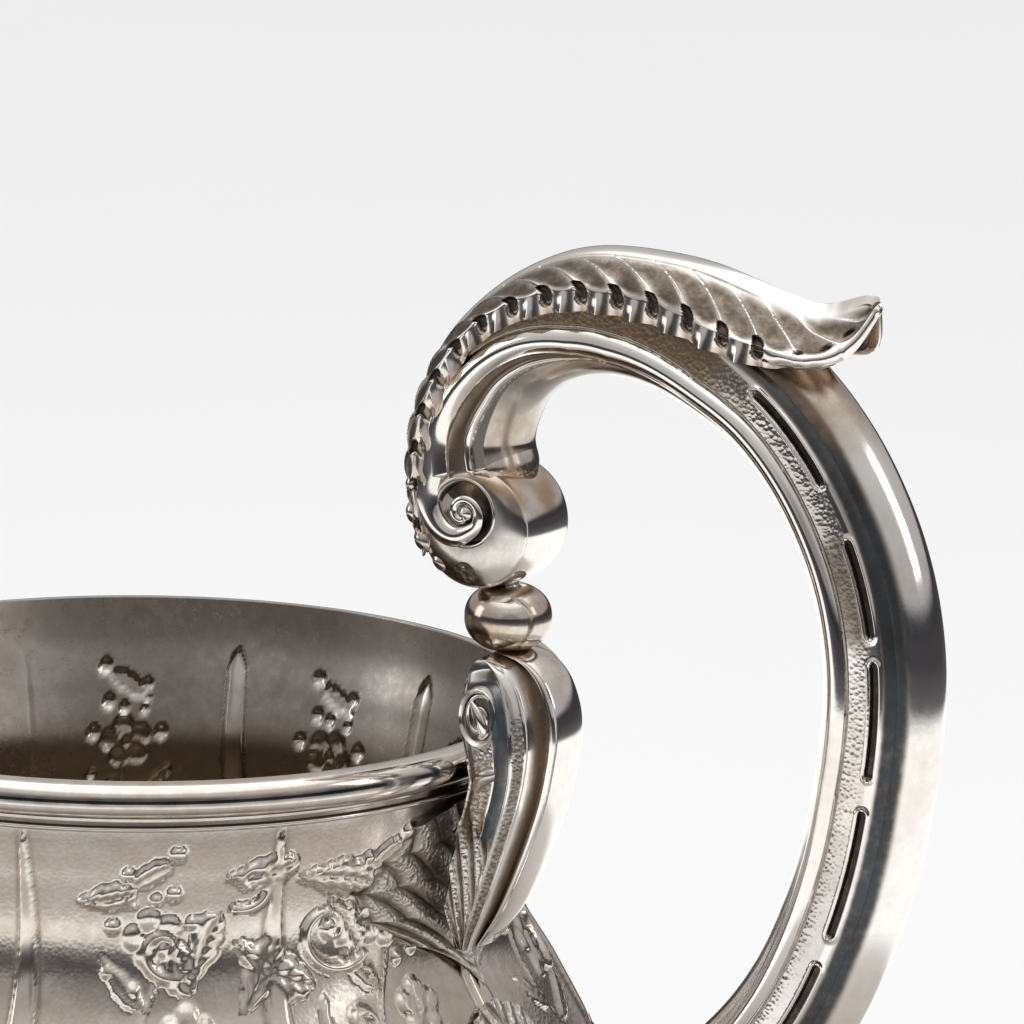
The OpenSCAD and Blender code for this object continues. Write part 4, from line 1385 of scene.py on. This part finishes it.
def make_floor():
    """A plain pale floor. In the silver it glows as a painted reflection: a painted shadow round
    the pitcher, a lit table, and a dark room behind.
    """
    mesh = bpy.data.meshes.new("floor")
    size = 9.0
    mesh.from_pydata([(-size, -size, 0), (size, -size, 0), (size, size, 0), (-size, size, 0)], [],
                     [(0, 1, 2, 3)])
    material = bpy.data.materials.new("floor_pale")
    material.use_nodes = True
    n = Nodes(material.node_tree)
    place = n.new("TexCoord").outputs["Object"]
    colour = n.ramp(n.noise(3, 2, 0.5, place), (0.0, (0.85, 0.85, 0.855)),
                    (1.0, (0.87, 0.87, 0.875)))
    pale = n.new("BsdfPrincipled", {"Base Color": colour, "Roughness": 0.8,
                                    "Specular IOR Level": 0.0})
    distance = n.new("VectorMath", {0: place}, operation="LENGTH").outputs["Value"]
    # For glossy rays the floor glows by distance from the axis: a painted shadow near the pitcher,
    # a bright painted table, then dark
    table = n.ramp(n.math("MULTIPLY", distance, 0.5, clamp=True),
                   (0.0, (0.08, 0.075, 0.07)), (0.06, (0.22, 0.20, 0.19)),
                   (0.11, (0.50, 0.46, 0.43)), (0.15, (0.62, 0.58, 0.545)),
                   (0.165, (1.12, 1.10, 1.07)), (0.42, (1.15, 1.13, 1.10)),
                   (0.46, (0.10, 0.095, 0.10)), (1.0, (0.05, 0.048, 0.052)))
    painted_reflection_glow = n.new("Emission", {"Color": table, "Strength": 1.0})
    glossy = n.new("LightPath").outputs["Is Glossy Ray"]
    both = n.new("MixShader", {0: glossy, 1: pale.outputs[0], 2: painted_reflection_glow.outputs[0]})
    n.new("OutputMaterial", {"Surface": both.outputs[0]})
    mesh.materials.append(material)
    floor = bpy.data.objects.new("floor", mesh)
    bpy.context.collection.objects.link(floor)


def make_light(name, place, size, power, colour=(1, 1, 1)):
    data = bpy.data.lights.new(name, "AREA")
    data.shape = "RECTANGLE"
    data.size, data.size_y = size
    data.energy = power
    data.color = colour
    light = bpy.data.objects.new(name, data)
    bpy.context.collection.objects.link(light)
    light.location = place
    aim = Vector((0.03, 0, 0.17)) - Vector(place)
    light.rotation_mode = "QUATERNION"
    light.rotation_quaternion = aim.to_track_quat("-Z", "Y")


def make_world():
    """Even pale light on the floor, and for reflections a dark room under a lit ceiling."""
    world = bpy.data.worlds.new("studio")
    bpy.context.scene.world = world
    world.use_nodes = True
    n = Nodes(world.node_tree)
    direction = n.new("TexCoord").outputs["Generated"]
    parts = n.new("SeparateXYZ", {"Vector": direction}).outputs
    height = n.scaled(parts["Z"], 0.5, 0.5, clamp=True)
    room = n.ramp(height, (0.0, (0.3, 0.28, 0.27)), (0.47, (0.05, 0.047, 0.05)),
                  (0.53, (0.03, 0.03, 0.036)), (0.565, (0.44, 0.42, 0.42)),
                  (0.72, (0.46, 0.44, 0.425)), (0.86, (0.64, 0.62, 0.60)),
                  (0.925, (1.25, 1.24, 1.22)), (1.0, (1.3, 1.29, 1.27)))
    front = n.scaled(parts["X"], 0.56, n.math("MULTIPLY", parts["Y"], -0.83))
    shade = n.ramp(front, (0.86, (1, 1, 1)), (0.94, (0.6, 0.58, 0.58)))
    room = n.mix(1.0, room, shade, "MULTIPLY")
    glossy = n.new("LightPath").outputs["Is Glossy Ray"]
    colour = n.mix(glossy, (0.98, 0.98, 0.985), room)
    background = n.new("Background", {"Color": colour, "Strength": 1.0})
    n.new("OutputWorld", {"Surface": background.outputs[0]})


def make_studio():
    make_camera()
    make_floor()
    make_world()
    make_light("softbox_left", (-1.15, -0.75, 0.60), (0.5, 0.8), 2.2)
    make_light("softbox_right", (1.2, 0.25, 0.75), (0.35, 0.6), 1.1)
    make_light("softbox_top", (-0.1, 0.3, 1.5), (0.9, 0.6), 2.4)
    bpy.context.scene.view_settings.view_transform = "Standard"


make_studio()
make_vessel()
make_spout()
make_wires()
make_foot_dome()
make_foot_wires()
make_handle_half("handle_shell_near", -1)
make_handle_half("handle_shell_far", 1)
make_leaf()
make_upper_knop()
make_bead()
make_rim_scroll()
make_plate("neck_leaf", 25, 6.0, 1.1)
make_plate("lower_leaf", 15, 7.0, 1.0)
make_lower_knop()
make_dowels()
